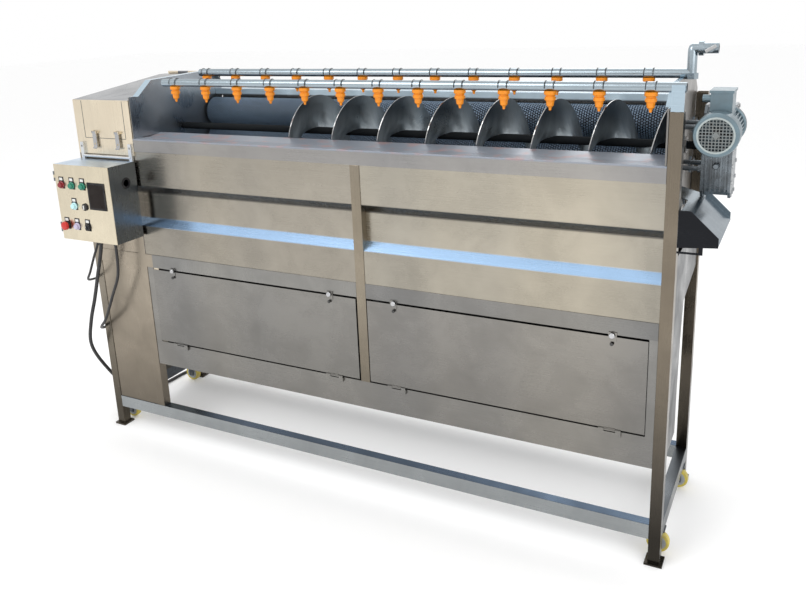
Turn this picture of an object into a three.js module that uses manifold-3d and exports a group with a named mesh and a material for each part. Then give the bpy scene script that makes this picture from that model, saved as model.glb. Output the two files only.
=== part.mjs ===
// Potato washing machine: a stainless steel frame with a trough of five driven brush rollers,
// a slow auger over them, two spray pipes, a control box and a discharge chute.
// Millimetres, +Z up. X runs along the machine, the front faces -Y, and Z = 0 is the floor.
import * as THREE from 'three';
import { mergeVertices } from 'three/addons/utils/BufferGeometryUtils.js';
import Module from 'manifold-3d';

// Frame
const frameLength = 2400;
const frameWidth = 570;
const postSize = 38;
const tubeWall = 2;
const sheet = 2;
const seam = 0.3;
const overrun = 5;
const weldDistance = 0.02;
const beamBottom = 92;
const beamHeight = 53;
const footSide = 58;
const footThickness = 8;
const leftPostTop = 1254;
const rightPostTop = 1477;
const innerPostLeft = 260;
const middlePostLeftInset = 1092;
const middlePostLeft = frameLength - middlePostLeftInset;
const railBottom = 1271;
const railHeight = 52;
const coverSeam = 45;
const coverStep = 76;
const coverDrop = 2;
const coverRise = 5;
const coverFlightGap = 6;
const coverLip = 26;
const midRailBottom = 786;
const midRailHeight = 56;
const rearRailDepth = 50;
const rearRailBottom = 1440;
const rearRailHeight = 30;

// Front panels with their pressed groove
const panelInset = 2.3;
const grooveDepth = 28;
const grooveLow = 965;
const grooveFloorLow = 993;
const grooveFloorHigh = 1103;
const grooveHigh = 1131;

// Skirt, jambs and access doors
const skirtBottom = 349;
const skirtTop = 456;
const jambWidth = 32;
const rightJambWidth = 26;
const surroundThickness = 3;
const surroundReturn = 26;
const doorBottom = 464;
const doorHeight = 316;
const doorThickness = 2;
const doorClearance = 1.5;
const doorHingeInset = 110;
const knuckleLength = 36;
const knuckleRadius = 4;
const hingePinRadius = 2;
const hingeLeafHeight = 16;
const tabWidth = 26;
const tabScrewRise = 5;
const tabHeight = 30;
const tabScrewRadius = 7;
const tabScrewHeight = 5;

// Tank with its sump
const tankFront = 42;
const tankRearInset = 42;
const tankRear = frameWidth - tankRearInset;
const tankTop = 1034;
const tankLeft = 320;
const tankRightInset = 6;
const tankRight = frameLength - tankRightInset;
const sumpBottom = 370;
const sumpWaistRear = 223;
const sumpWaistHeight = 527;
const sumpShoulderRear = 237;
const sumpShoulderHeight = 701;
const floorFrontReach = 265;
const floorFrontHeight = 831;
const floorRearHeight = 876;
const tankLedgeInset = 6;
const drainRadius = 26;
const drainLength = 30;
const drainBore = 21;

// Trough: auger, brush rollers and end plates
const augerZ = 1336;
const bristleLength = 16;
const rollerFirstAngleDeg = 10;
const rollerStepAngleDeg = 38;
const rollerCount = 5;
const rollerCircleShare = 0.357895;
const rollerGap = 4.4;
const rollerRearClearance = 7.083;
const flightClearance = 4;
const rollerCircle = frameWidth * rollerCircleShare;
const rollerOuterRadius = rollerCircle * Math.sin(THREE.MathUtils.degToRad(rollerStepAngleDeg / 2))
  - rollerGap;
const rollerCoreRadius = rollerOuterRadius - bristleLength;
const flightRadius = rollerCircle - rollerOuterRadius - flightClearance;
const augerY = frameWidth - rollerRearClearance - rollerOuterRadius
  - rollerCircle * Math.cos(THREE.MathUtils.degToRad(rollerFirstAngleDeg));
const coverReach = augerY - flightRadius - coverFlightGap;
const flightPitch = 191;
const flightTopLeft = 998;
const flightLeadShare = 0.5;
const flightRightInset = 57;
const flightRight = frameLength - flightRightInset;
const flightThickness = 3;
const augerTubeRadius = 14;
const augerTubeWall = 4;
const journalRadius = 12.5;
const journalBore = 6;
const journalLeft = 288;
const journalRightReach = 112;
const journalRight = frameLength + journalRightReach;
const bristlesPerRoller = 75;
const bristleRadius = 2.2;
const bristleSink = 3;
const rollerLeft = 322;
const rollerRightInset = 58;
const rollerRight = frameLength - rollerRightInset;
const rollerShaftRadius = 12;
const rollerShaftRightInset = 26;
const rollerShaftRight = frameLength - rollerShaftRightInset;
const plateThickness = 5;
const leftPlateX = 308;
const rightPlateXInset = 45;
const rightPlateX = frameLength - rightPlateXInset;
const plateBottom = 1042;
const plateFrontReach = 3;
const plateRearInset = 5;
const plateRear = frameWidth - plateRearInset;
const hoodFrontTop = 1487;
const hoodFlangeFront = 28;
const hoodSlopeRear = 107;
const hoodSlopeTop = 1545;
const hoodCrestRearInset = 90;
const hoodCrestRear = frameWidth - hoodCrestRearInset;
const hoodCrestTop = 1556;
const hoodFlangeReach = 10;
const hoodFlange = 30;
const exitRise = 70;
const exitBottom = augerZ - rollerCircle + exitRise;
const exitTopRise = 60;
const exitTop = exitBottom + exitTopRise;
const chuteCheekTopDrop = 5;
const chuteCheekTop = exitBottom - chuteCheekTopDrop;
const chuteLipTopDrop = 79;
const chuteLipTop = exitBottom - chuteLipTopDrop;
const chuteLipBottomDrop = 108;
const chuteLipBottom = exitBottom - chuteLipBottomDrop;
const chuteCheekBottomDrop = 117;
const chuteCheekBottom = exitBottom - chuteCheekBottomDrop;
const chuteFloorLeftZDrop = 6;
const chuteFloorLeftZ = exitBottom - chuteFloorLeftZDrop;
const chuteFloorBendZDrop = 28;
const chuteFloorBendZ = exitBottom - chuteFloorBendZDrop;
const chuteFloorLipZDrop = 102;
const chuteFloorLipZ = exitBottom - chuteFloorLipZDrop;
const chuteRearCheekTopDrop = 22;
const chuteRearCheekTop = exitBottom - chuteRearCheekTopDrop;
const exitFrontReach = 115;
const exitFront = augerY - exitFrontReach;
const exitRearBehind = 18;
const exitRear = augerY + exitRearBehind;
const chuteRearBehind = 20;
const chuteRear = augerY + chuteRearBehind;
const chuteInnerFrontReach = 120;
const chuteInnerFront = augerY - chuteInnerFrontReach;
const bearingRadius = 27;
const bearingHeight = 12;
const bearingClearance = 0.4;

// Roller drive in the left housing
const sprocketLeft = 263;
const sprocketWidth = 8;
const sprocketRadius = 37;
const toothHeight = 5;
const toothCount = 12;
const chainClearance = 0.8;
const chainThickness = 9;
const chainOverhang = 1.5;
const driveY = 270;
const driveZ = 1420;
const driveShaftRadius = 10;
const driveShaftLength = 34;
const gearmotorLeft = 52;
const gearmotorRight = 246;
const gearmotorRadius = 60;
const gearmotorHeadLength = 52;
const gearmotorFootHeight = 14;
const gearmotorFootWidth = 150;
const shelfThickness = 3;
const shelfReach = 250;
const lidLeafDrop = 24;

// Drive housing and its lid
const housingRight = 307.4;
const bandTop = 1320;
const housingFrontTop = 1472;
const housingRearTop = 1530;
const slopeRearInset = 60;
const slopeRear = frameWidth - slopeRearInset;
const flapLeft = 48;
const flapRight = 272;
const lidHingeY = frameWidth;
const lidHingeZ = 1537;
const lidHingeRadius = 6;
const lidPinRadius = 3;
const lidKnuckle = 60;
const lidTongueFrontInset = 20;
const lidTongueFront = frameWidth - lidTongueFrontInset;

// Draw latches
const latchLeftX = 108;
const latchRightX = 233;
const latchPivotZ = 1345;
const latchWidth = 20;
const latchLength = 62;
const latchHookReach = 9;
const latchThickness = 3;
const latchPivotReach = 8;
const latchEar = 3;
const latchPinRadius = 2.5;
const catchDrop = 48;

// Control box
const boxLeft = 11;
const boxWidth = 300;
const boxBack = 8;
const boxFront = 148;
const boxBottom = 923;
const boxTop = 1234;
const boxSheet = 2;
const boxDoorThickness = 2;
const cableHoleY = 66;
const cableHoleZ = 1157;
const cableHoleRadius = 20;
const earWidth = 17;
const earTop = 1302;
const earInset = 9;
const earThickness = 8;
const hangBarZ = 1246;
const hangBarRadius = 6;
const standoffSide = 20;
const boxHingeRadius = 4;
const boxHingePinRadius = 2;
const boxHingeLength = 40;
const boxHingeInset = 30;

// Controls on the box door
const controlColumnLeft = 45;
const controlColumnMiddle = 102;
const controlColumnRight = 161;
const controlRowTop = 1151;
const controlRowMiddle = 1067;
const controlRowBottom = 983;
const bezelRadius = 14;
const bezelHeight = 6;
const capRadius = 10;
const capClearance = 0.5;
const capLength = 11;
const buttonTravel = 4;
const stemCollarRadius = 13;
const stemCollarLength = 3;
const mushroomRadius = 18;
const mushroomLength = 14;
const handleWidth = 5;
const handleHeight = 6;
const labelWidth = 24;
const labelHeight = 11;
const labelRise = 23;
const labelThickness = 1;
const displayLeft = 193;
const displayRight = 276;
const displayBottom = 1064;
const displayTop = 1164;
const displayFrame = 5;
const displayDepth = 30;
const displayRecess = 3;

// Auger drive on the right
const motorZ = 1414;
const gearboxLeftReach = 25;
const gearboxLeft = frameLength + gearboxLeftReach;
const gearboxWidth = 88;
const gearboxRight = gearboxLeft + gearboxWidth;
const motorAxisInset = 61;
const motorX = gearboxLeft + motorAxisInset;
const gearboxHalfDepth = 64;
const gearboxFront = augerY - gearboxHalfDepth;
const gearboxRear = augerY + gearboxHalfDepth;
const gearboxBelowExit = 19;
const gearboxBottom = exitBottom - gearboxBelowExit;
const gearboxTop = 1468;
const gearboxFlange = 8;
const gearboxFlangeRise = 7;
const gearboxCorner = 22;
const gearboxRibs = 5;
const gearboxRibHeight = 8;
const gearboxRibWidth = 5;
const oilPlugRadius = 9;
const oilPlugHeight = 6;
const oilPlugZ = 1286;
const mountBoltRadius = 7;
const mountBoltInset = 14;
const mountNutRadius = 12;
const mountNutHeight = 10;
const motorFlangeRadius = 60;
const motorFlangeThickness = 10;
const motorFrameFront = 66;
const motorFrameRadius = 50;
const motorFinHeight = 6;
const motorFins = 12;
const motorShieldRadius = 58;
const motorShieldLength = 12;
const terminalLeftReach = 28;
const terminalLeft = motorX - terminalLeftReach;
const terminalRightReach = 31;
const terminalRight = motorX + terminalRightReach;
const terminalTop = 1530;
const terminalFront = 80;
const terminalLength = 96;
const terminalLid = 8;
const terminalLidOverhang = 3;
const motorGlandRadius = 11;
const motorGlandLength = 22;
const motorGlandZ = 1506;
const motorCableRadius = 6;
const cowlFront = 5;
const cowlRadius = 62;
const cowlLength = 70;
const cowlChamfer = 6;
const cowlWall = 2;
const grillePitch = 24;
const grilleHole = 17;
const grilleRadius = 49;
const fanRadius = 45;
const fanHubRadius = 14;
const fanFront = 18;
const fanLength = 30;
const fanBlades = 6;
const fanBladeThickness = 3;
const fanShaftRadius = 7;
const fanShaftLength = 30;

// Discharge chute
const chuteCheekLeftReach = 0.4;
const chuteCheekLeft = frameLength + chuteCheekLeftReach;
const chuteShoulderReach = 35;
const chuteShoulder = frameLength + chuteShoulderReach;
const chuteLipReach = 113;
const chuteLip = frameLength + chuteLipReach;
const chuteFloorLeftInset = 39;
const chuteFloorLeft = frameLength - chuteFloorLeftInset;
const chuteFloorBendReach = 37;
const chuteFloorBend = frameLength + chuteFloorBendReach;
const chuteStrutWidth = 12;
const chuteStrutDrop = 34;
const chuteStrutXReach = 60;
const chuteStrutX = frameLength + chuteStrutXReach;

// Spray pipes
const pipeRadius = 14.5;
const pipeWall = 2;
const frontPipeY = 20;
const frontPipeZ = 1544;
const frontPipeLeft = 485;
const rearPipeY = 270;
const rearPipeZ = 1561;
const rearPipeLeft = 455;
const frontNozzleX = 542;
const nozzleCount = 13;
const lastNozzleInset = 94;
const nozzlePitch = (frameLength - lastNozzleInset - frontNozzleX) / (nozzleCount - 1);
const rearNozzleX = 488;
const nozzleShoulder = 20;
const nozzleTip = 8;
const nozzleShoulderDrop = 30;
const nozzleTipDrop = 72;
const pipeBracketLeftInset = 36;
const pipeBracketLeft = frameLength - pipeBracketLeftInset;
const pipeBracketWidth = 36;
const pipeBracketBottom = 1478;
const pipeBracketTop = 1552;
const pipeBracketThickness = 6;
const pipeLugRadius = 15;
const pipeLugHeight = 12;
const riserXInset = 22;
const riserX = frameLength - riserXInset;
const riserTop = 1650;
const riserNutRadius = 20;
const riserNutLength = 18;
const unionRadius = 22;
const unionLeftInset = 6;
const unionLeft = frameLength - unionLeftInset;
const unionLength = 16;
const valveRadius = 16;
const valveRightReach = 52;
const valveRight = frameLength + valveRightReach;
const valveBossRadius = 10;
const valveBossLength = 24;
const valveXReach = 32;
const valveX = frameLength + valveXReach;
const valveBore = 11;
const valveStemRadius = 4;
const valveStemSeat = 10;
const valveWingTurn = 30;
const valveWing = 17;
const valveWingHeight = 10;
const valveWingThickness = 4;
const pipeNotchClearance = 1;

// Casters
const wheelRadius = 37.5;
const wheelWidth = 26;
const wheelClearance = 3;
const axleRadius = 5;
const casterSetback = 80;
const forkGap = 2;
const forkThickness = 3;
const forkWidth = 26;
const forkPlate = 44;
const forkPlateThickness = 6;
const forkNose = 11;

// Cables and mains lead
const leadRadius = 7.5;
const leadCornerInset = 30;
const leadCornerGap = 54;
const leadBehindGap = 70;
const leadCornerStart = frameWidth - leadCornerInset;
const leadCornerY = frameWidth + leadCornerGap;
const leadBehindY = frameWidth + leadBehindGap;
const cableRadius = 6;
const signalRadius = 5;
const glandStripLeft = 84;
const glandStripRight = 214;
const glandStripDepth = 32;
const glandStripHeight = 16;
const cablePlaneY = -60;
const coilX = 255;
const coilSetback = 165;
const coilY = frameWidth + coilSetback;
const coilOuterRadius = 114;
const coilTurnStep = 18;
const coilLayerStep = 15.8;
const coilTurnsPerLayer = 1;
const coilClimbTurns = 0.5;
const coilLeadIn = 44;
const coilTail = 15;
const plugRadius = 22;
const plugLength = 84;
const plugCollarRadius = 15;
const reliefLength = 34;
const plugMouthDepth = 34;
const plugMouthRadius = 18;
const plugPins = 4;
const plugPinCircle = 10;
const plugPinRadius = 3;

// Counts and facet numbers
const roundSides = 12;
const hingeSides = 6;
const smallSides = 8;
const nozzleSides = 6;
const flightStepsPerTurn = 14;
const leadSides = 8;
const coilSides = 6;
const flightSides = 4;
const coilStepsPerTurn = 24;
const coilHeadingSteps = 8;
const coilGapSamples = 6;
const lidKnuckles = 5;
const boxKnuckles = 3;
const finCorners = 4;
const strandSides = 3;
const boxCableSteps = 15;
const signalCableSteps = 12;
const motorCableSteps = 8;
const leadSteps = 38;
const linkCurveSteps = 3;

const manifoldLibrary = await Module();
manifoldLibrary.setup();

const machine = new THREE.Group();

function steel(colour, roughness) {
  return new THREE.MeshStandardMaterial({ color: colour, roughness, metalness: 1 });
}

function plastic(colour, roughness) {
  return new THREE.MeshStandardMaterial({ color: colour, roughness, metalness: 0 });
}

// Triangles whose three corners stayed apart when near vertices were merged
function uncollapsed(index) {
  const kept = [];
  for (let start = 0; start < index.length; start += 3) {
    const [a, b, c] = [index[start], index[start + 1], index[start + 2]];
    if (a !== b && b !== c && c !== a) {
      kept.push([a, b, c]);
    }
  }
  return kept;
}

// Closed geometry to a solid, turned outside out where it was inside out
function solid(geometry) {
  const plain = geometry.clone();
  plain.deleteAttribute('normal');
  plain.deleteAttribute('uv');
  const merged = mergeVertices(plain);
  const position = merged.attributes.position;
  const corner = (index) => new THREE.Vector3().fromBufferAttribute(position, index);
  const kept = uncollapsed(merged.index.array);
  const volume = kept.reduce((total, [a, b, c]) => total + corner(a).dot(corner(b).cross(corner(c))), 0);
  const triVerts = Uint32Array.from(kept.flatMap(([a, b, c]) => (volume < 0 ? [a, c, b] : [a, b, c])));
  const vertProperties = Float32Array.from(position.array);
  const mesh = new manifoldLibrary.Mesh({ numProp: 3, vertProperties, triVerts });
  return new manifoldLibrary.Manifold(mesh);
}

function join(solids) {
  return solids.reduce((total, next) => total.add(next));
}

function cut(base, tools) {
  return tools.reduce((left, tool) => left.subtract(tool), base);
}

function part(name, body, material) {
  const result = body.getMesh();
  const joined = new THREE.BufferGeometry();
  joined.setAttribute('position', new THREE.BufferAttribute(result.vertProperties, 3));
  joined.setIndex(new THREE.BufferAttribute(result.triVerts, 1));
  const geometry = mergeVertices(joined, weldDistance);
  geometry.setIndex(uncollapsed(geometry.index.array).flat());
  geometry.computeVertexNormals();
  const mesh = new THREE.Mesh(geometry, material);
  mesh.name = name;
  machine.add(mesh);
  return mesh;
}

function block(x0, x1, y0, y1, z0, z1) {
  const geometry = new THREE.BoxGeometry(x1 - x0, y1 - y0, z1 - z0);
  geometry.translate((x0 + x1) / 2, (y0 + y1) / 2, (z0 + z1) / 2);
  return solid(geometry);
}

const alongX = new THREE.Matrix4().makeBasis(
  new THREE.Vector3(0, 1, 0), new THREE.Vector3(0, 0, 1), new THREE.Vector3(1, 0, 0));
const alongY = new THREE.Matrix4().makeBasis(
  new THREE.Vector3(0, 0, 1), new THREE.Vector3(1, 0, 0), new THREE.Vector3(0, 1, 0));
const alongZ = new THREE.Matrix4();

// A shape's two axes are (Y, Z) for a run along X, (Z, X) along Y and (X, Y) along Z
function extrude(shape, frame, from, to) {
  const geometry = new THREE.ExtrudeGeometry(shape, { depth: to - from, bevelEnabled: false, steps: 1 });
  geometry.translate(0, 0, from);
  geometry.applyMatrix4(frame);
  return solid(geometry);
}

function outline(points) {
  return new THREE.Shape(points.map(([u, v]) => new THREE.Vector2(u, v)));
}

function runX(points, x0, x1) {
  return extrude(outline(points), alongX, x0, x1);
}

// Points are (X, Z)
function runY(points, y0, y1) {
  return extrude(outline(points.map(([x, z]) => [z, x])), alongY, y0, y1);
}

// Turned body: points are (place along the axis, radius), from the axis back to the axis
function turned(points, frame, centre, sides) {
  const profile = points.map(([along, radius]) => new THREE.Vector2(radius, along));
  const geometry = new THREE.LatheGeometry(profile, sides);
  geometry.rotateX(Math.PI / 2);
  geometry.applyMatrix4(frame);
  geometry.translate(...centre);
  return solid(geometry);
}

function turnedX(points, y, z, sides) {
  return turned(points, alongX, [0, y, z], sides);
}

function turnedY(points, x, z, sides) {
  return turned(points, alongY, [x, 0, z], sides);
}

function turnedZ(points, x, y, sides) {
  return turned(points, alongZ, [x, y, 0], sides);
}

// A faceted hole's flats lie this far out where its corners are at the returned radius
function holeRadius(radius, sides = smallSides) {
  return radius / Math.cos(Math.PI / sides);
}

function rodX(x0, x1, y, z, radius, sides = smallSides) {
  return turnedX([[x0, 0], [x0, radius], [x1, radius], [x1, 0]], y, z, sides);
}

function rodY(y0, y1, x, z, radius, sides = smallSides) {
  return turnedY([[y0, 0], [y0, radius], [y1, radius], [y1, 0]], x, z, sides);
}

function rodZ(z0, z1, x, y, radius, sides = smallSides) {
  return turnedZ([[z0, 0], [z0, radius], [z1, radius], [z1, 0]], x, y, sides);
}

// Folded sheet: the path's left-hand side moved in by the thickness, with mitred bends
function folded(path, thickness) {
  const normals = path.slice(1).map(([u, v], at) => {
    const [pu, pv] = path[at];
    const length = Math.hypot(u - pu, v - pv);
    return [-(v - pv) / length, (u - pu) / length];
  });
  const inner = path.map(([u, v], at) => {
    const before = normals[Math.max(at - 1, 0)];
    const after = normals[Math.min(at, normals.length - 1)];
    const spread = 1 + before[0] * after[0] + before[1] * after[1];
    const shift = thickness / spread;
    return [u + (before[0] + after[0]) * shift, v + (before[1] + after[1]) * shift];
  });
  return [...path, ...inner.reverse()];
}

function tubeX(x0, x1, y0, y1, z0, z1) {
  const bore = block(x0 - overrun, x1 + overrun, y0 + tubeWall, y1 - tubeWall, z0 + tubeWall, z1 - tubeWall);
  return cut(block(x0, x1, y0, y1, z0, z1), [bore]);
}

function tubeY(x0, x1, y0, y1, z0, z1) {
  const bore = block(x0 + tubeWall, x1 - tubeWall, y0 - overrun, y1 + overrun, z0 + tubeWall, z1 - tubeWall);
  return cut(block(x0, x1, y0, y1, z0, z1), [bore]);
}

function tubeZ(x0, x1, y0, y1, z0, z1) {
  const bore = block(x0 + tubeWall, x1 - tubeWall, y0 + tubeWall, y1 - tubeWall, z0 - overrun, z1 + overrun);
  return cut(block(x0, x1, y0, y1, z0, z1), [bore]);
}

// Round cord along hand-placed points
function cord(points, radius, steps, sides) {
  const curve = new THREE.CatmullRomCurve3(points.map((point) => new THREE.Vector3(...point)), false,
      'centripetal');
  return sweep(curve, radius, steps, sides);
}

function sweep(curve, radius, steps, sides) {
  const section = new THREE.Shape();
  for (let side = 0; side < sides; side += 1) {
    const angle = (2 * Math.PI * side) / sides;
    const [u, v] = [radius * Math.cos(angle), radius * Math.sin(angle)];
    if (side === 0) {
      section.moveTo(u, v);
    } else {
      section.lineTo(u, v);
    }
  }
  return solid(new THREE.ExtrudeGeometry(section, { steps, extrudePath: curve, bevelEnabled: false }));
}

const brushed = steel(0xb9b7b2, 0.34);
const paleSteel = steel(0xc9ccd0, 0.28);
const darkSteel = steel(0x6d7072, 0.42);
const zinc = steel(0xaab0b4, 0.4);
const castGrey = plastic(0x8b9499, 0.45);
const black = plastic(0x141416, 0.5);

const railTop = railBottom + railHeight;
const midRailTop = midRailBottom + midRailHeight;
const beamTop = beamBottom + beamHeight;
const rightPostLeft = frameLength - postSize;
const rearPostFront = frameWidth - postSize;
const innerPostRight = innerPostLeft + postSize;
const middlePostRight = middlePostLeft + postSize;
const rearRailTop = rearRailBottom + rearRailHeight;
const doorTop = doorBottom + doorHeight;
const leftPlateRight = leftPlateX + plateThickness;
const rightPlateRight = rightPlateX + plateThickness;
const boxRight = boxLeft + boxWidth;

function makePost(name, x0, y0, top) {
  const tube = tubeZ(x0, x0 + postSize, y0, y0 + postSize, footThickness - sheet, top);
  const spread = (footSide - postSize) / 2;
  const foot = block(x0 - spread, x0 + postSize + spread, y0 - spread, y0 + postSize + spread, 0,
      footThickness);
  part(name, join([tube, foot]), brushed);
}

function makePosts() {
  makePost('front_left_post', 0, 0, leftPostTop);
  makePost('front_right_post', rightPostLeft, 0, rightPostTop);
  makePost('rear_left_post', 0, rearPostFront, leftPostTop);
  makePost('rear_right_post', rightPostLeft, rearPostFront, rightPostTop);
}

function makeLongBeams() {
  const left = postSize + seam;
  const right = rightPostLeft - seam;
  part('front_bottom_beam', tubeX(left, right, 0, postSize, beamBottom, beamTop), brushed);
  part('rear_bottom_beam', tubeX(left, right, rearPostFront, frameWidth, beamBottom, beamTop), brushed);
}

const wheelCentreZ = wheelRadius + wheelClearance;
const casterRows = [casterSetback, frameWidth - casterSetback];

// A rigid fork under an end beam, open for the wheel and its axle
function casterFork(x, y) {
  const half = wheelWidth / 2 + forkGap;
  const plateBottomZ = beamBottom - forkPlateThickness;
  const plate = block(x - forkPlate / 2, x + forkPlate / 2, y - half - forkThickness,
      y + half + forkThickness,
    plateBottomZ, beamBottom + tubeWall / 2);
  const legs = [y - half - forkThickness, y + half].map((front) => block(x - forkWidth / 2,
      x + forkWidth / 2,
    front, front + forkThickness, wheelCentreZ - forkNose, plateBottomZ + forkPlateThickness / 2));
  const bore = rodY(y - half - forkThickness - overrun, y + half + forkThickness + overrun, x, wheelCentreZ,
    holeRadius(axleRadius + seam));
  return cut(join([plate, ...legs]), [bore]);
}

function makeEndBeams() {
  const front = postSize + seam;
  const rear = rearPostFront - seam;
  const places = [['left_bottom_beam', 0], ['right_bottom_beam', rightPostLeft]];
  for (const [name, x0] of places) {
    const tube = tubeY(x0, x0 + postSize, front, rear, beamBottom, beamTop);
    const forks = casterRows.map((y) => casterFork(x0 + postSize / 2, y));
    part(name, join([tube, ...forks]), brushed);
  }
}

function makeWheels() {
  const half = wheelWidth / 2;
  const axleHalf = half + forkGap + forkThickness;
  const names = ['front', 'rear'];
  for (const [side, x] of [['left', postSize / 2], ['right', frameLength - postSize / 2]]) {
    casterRows.forEach((y, row) => {
      const wheel = turnedY([[y - axleHalf, 0], [y - axleHalf, axleRadius], [y - half, axleRadius],
        [y - half, wheelRadius], [y + half, wheelRadius], [y + half, axleRadius], [y + axleHalf, axleRadius],
        [y + axleHalf, 0]], x, wheelCentreZ, roundSides);
      part(`caster_wheel_${names[row]}_${side}`, wheel, plastic(0xd8c22a, 0.45));
    });
  }
}

// The rail's tube carries the stepped cover strip over the front roller
function makeFrontTopRail() {
  const tube = tubeX(housingRight + seam, rightPostLeft - seam, 0, postSize, railBottom, railTop);
  const strip = runX([[postSize - tubeWall, railTop], [coverSeam, railTop], [coverSeam, railTop - coverDrop],
    [coverStep, railTop - coverDrop], [coverStep, railTop - coverDrop * 2],
    [coverReach, railTop + coverRise], [coverReach, railTop - coverLip],
    [coverReach - sheet, railTop - coverLip], [coverReach - sheet, railTop + coverRise - sheet],
    [coverStep, railTop - coverDrop * 2 - sheet * 2],
    [postSize - tubeWall, railTop - coverDrop * 2 - sheet * 2]], leftPlateRight + seam, rightPlateX - seam);
  part('front_top_rail', join([tube, strip]), brushed);
}

// Welded front of the left bay: inner post, mid rail and the two bay sheets
function makeLeftBayFrame() {
  const rail = tubeX(postSize + seam, middlePostLeft - seam, 0, postSize, midRailBottom, midRailTop);
  const upperPost = tubeZ(innerPostLeft, innerPostRight, 0, postSize, midRailTop - tubeWall / 2,
      leftPostTop);
  const lowerPost = tubeZ(innerPostLeft, innerPostRight, 0, postSize, beamTop + seam,
      midRailBottom + tubeWall / 2);
  const left = postSize + seam;
  const right = innerPostLeft + tubeWall / 2;
  const upperSheet = block(left, right, panelInset, panelInset + sheet, midRailTop - tubeWall / 2,
      leftPostTop);
  const lowerSheet = block(left, right, panelInset, panelInset + sheet, beamTop + seam,
      midRailBottom + tubeWall / 2);
  part('left_bay_frame', join([rail, upperPost, lowerPost, upperSheet, lowerSheet]), brushed);
}

function makeMiddlePost() {
  const tube = tubeZ(middlePostLeft, middlePostRight, 0, postSize, skirtTop + seam, railBottom - seam);
  part('middle_post', tube, brushed);
}

function makeMidRailRight() {
  const tube = tubeX(middlePostRight + seam, rightPostLeft - seam, 0, postSize, midRailBottom, midRailTop);
  part('mid_rail_right', tube, brushed);
}

function makeUpperPanels() {
  const low = midRailTop + seam;
  const high = railBottom - seam;
  const path = [[panelInset, high], [panelInset, grooveHigh], [panelInset + grooveDepth, grooveFloorHigh],
    [panelInset + grooveDepth, grooveFloorLow], [panelInset, grooveLow], [panelInset, low]];
  const section = folded(path, sheet);
  part('upper_panel_left', runX(section, innerPostRight + seam, middlePostLeft - seam), brushed);
  part('upper_panel_right', runX(section, middlePostRight + seam, rightPostLeft - seam), brushed);
}

const hingeAxisY = -(doorThickness + knuckleRadius / 2);
const hingeAxisZ = (skirtTop + doorBottom) / 2;
const leftDoorLeft = innerPostRight + jambWidth;
const leftDoorRight = middlePostLeft - doorClearance * 2;
const rightDoorLeft = middlePostRight + doorClearance * 2;
const rightDoorRight = rightPostLeft - rightJambWidth;
const doorSpans = [['left', leftDoorLeft, leftDoorRight], ['right', rightDoorLeft, rightDoorRight]];

function doorHinges(left, right) {
  return [left + doorHingeInset, right - doorHingeInset];
}

// Skirt and jambs round the access doors, with the fixed halves of the door hinges
function makeDoorSurround() {
  const left = innerPostRight + seam;
  const right = rightPostLeft - seam;
  const front = panelInset;
  const back = panelInset + surroundThickness;
  const face = runY([[left, skirtBottom], [right, skirtBottom], [right, midRailBottom - seam],
    [right - rightJambWidth, midRailBottom - seam], [right - rightJambWidth, skirtTop],
    [left + jambWidth, skirtTop], [left + jambWidth, midRailBottom - seam], [left, midRailBottom - seam]],
        front, back);
  const bottomReturn = block(left, right, front, front + surroundReturn, skirtBottom,
      skirtBottom + surroundThickness);
  const fixed = [];
  for (const [, doorLeft, doorRight] of doorSpans) {
    for (const x of doorHinges(doorLeft, doorRight)) {
      const outer = knuckleLength;
      const inner = knuckleLength / 2 + seam;
      fixed.push(block(x - outer, x + outer, hingeAxisY - hingePinRadius, front + surroundThickness / 2,
        skirtTop - hingeLeafHeight, skirtTop - sheet));
      for (const [from, to] of [[x - outer, x - inner], [x + inner, x + outer]]) {
        fixed.push(rodX(from, to, hingeAxisY, hingeAxisZ, knuckleRadius, hingeSides));
        fixed.push(block(from, to, hingeAxisY - hingePinRadius, hingeAxisY + hingePinRadius,
          skirtTop - hingeLeafHeight / 2, hingeAxisZ));
      }
      fixed.push(rodX(x - inner - overrun, x + inner + overrun, hingeAxisY, hingeAxisZ, hingePinRadius,
          hingeSides));
    }
  }
  part('door_surround', join([face, bottomReturn, ...fixed]), brushed);
}

// Bottom-hinged access door: a shallow pan with two screwed tabs at its top edge
function makeAccessDoor(name, left, right) {
  const x0 = left + doorClearance;
  const x1 = right - doorClearance;
  const skin = block(x0, x1, -doorThickness, 0, doorBottom, doorTop);
  const pieces = [skin];
  const hinges = doorHinges(left, right);
  for (const x of hinges) {
    const half = knuckleLength / 2 - seam;
    pieces.push(rodX(x - half, x + half, hingeAxisY, hingeAxisZ, knuckleRadius, hingeSides));
    pieces.push(block(x - half, x + half, hingeAxisY, 0 - seam, hingeAxisZ, doorBottom + sheet));
    const tab = block(x - tabWidth / 2, x + tabWidth / 2, -doorThickness - sheet, -seam,
      doorTop - tabHeight / 2, doorTop + tabHeight / 2);
    pieces.push(tab);
    pieces.push(rodY(-doorThickness - sheet - tabScrewHeight, -doorThickness, x, doorTop + tabScrewRise,
      tabScrewRadius, hingeSides));
  }
  const bores = hinges.map((x) => rodX(x - knuckleLength, x + knuckleLength, hingeAxisY, hingeAxisZ,
    holeRadius(hingePinRadius + seam, hingeSides), hingeSides));
  part(name, cut(join(pieces), bores), brushed);
}

function makeAccessDoors() {
  for (const [side, left, right] of doorSpans) {
    makeAccessDoor(`access_door_${side}`, left, right);
  }
}

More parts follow.
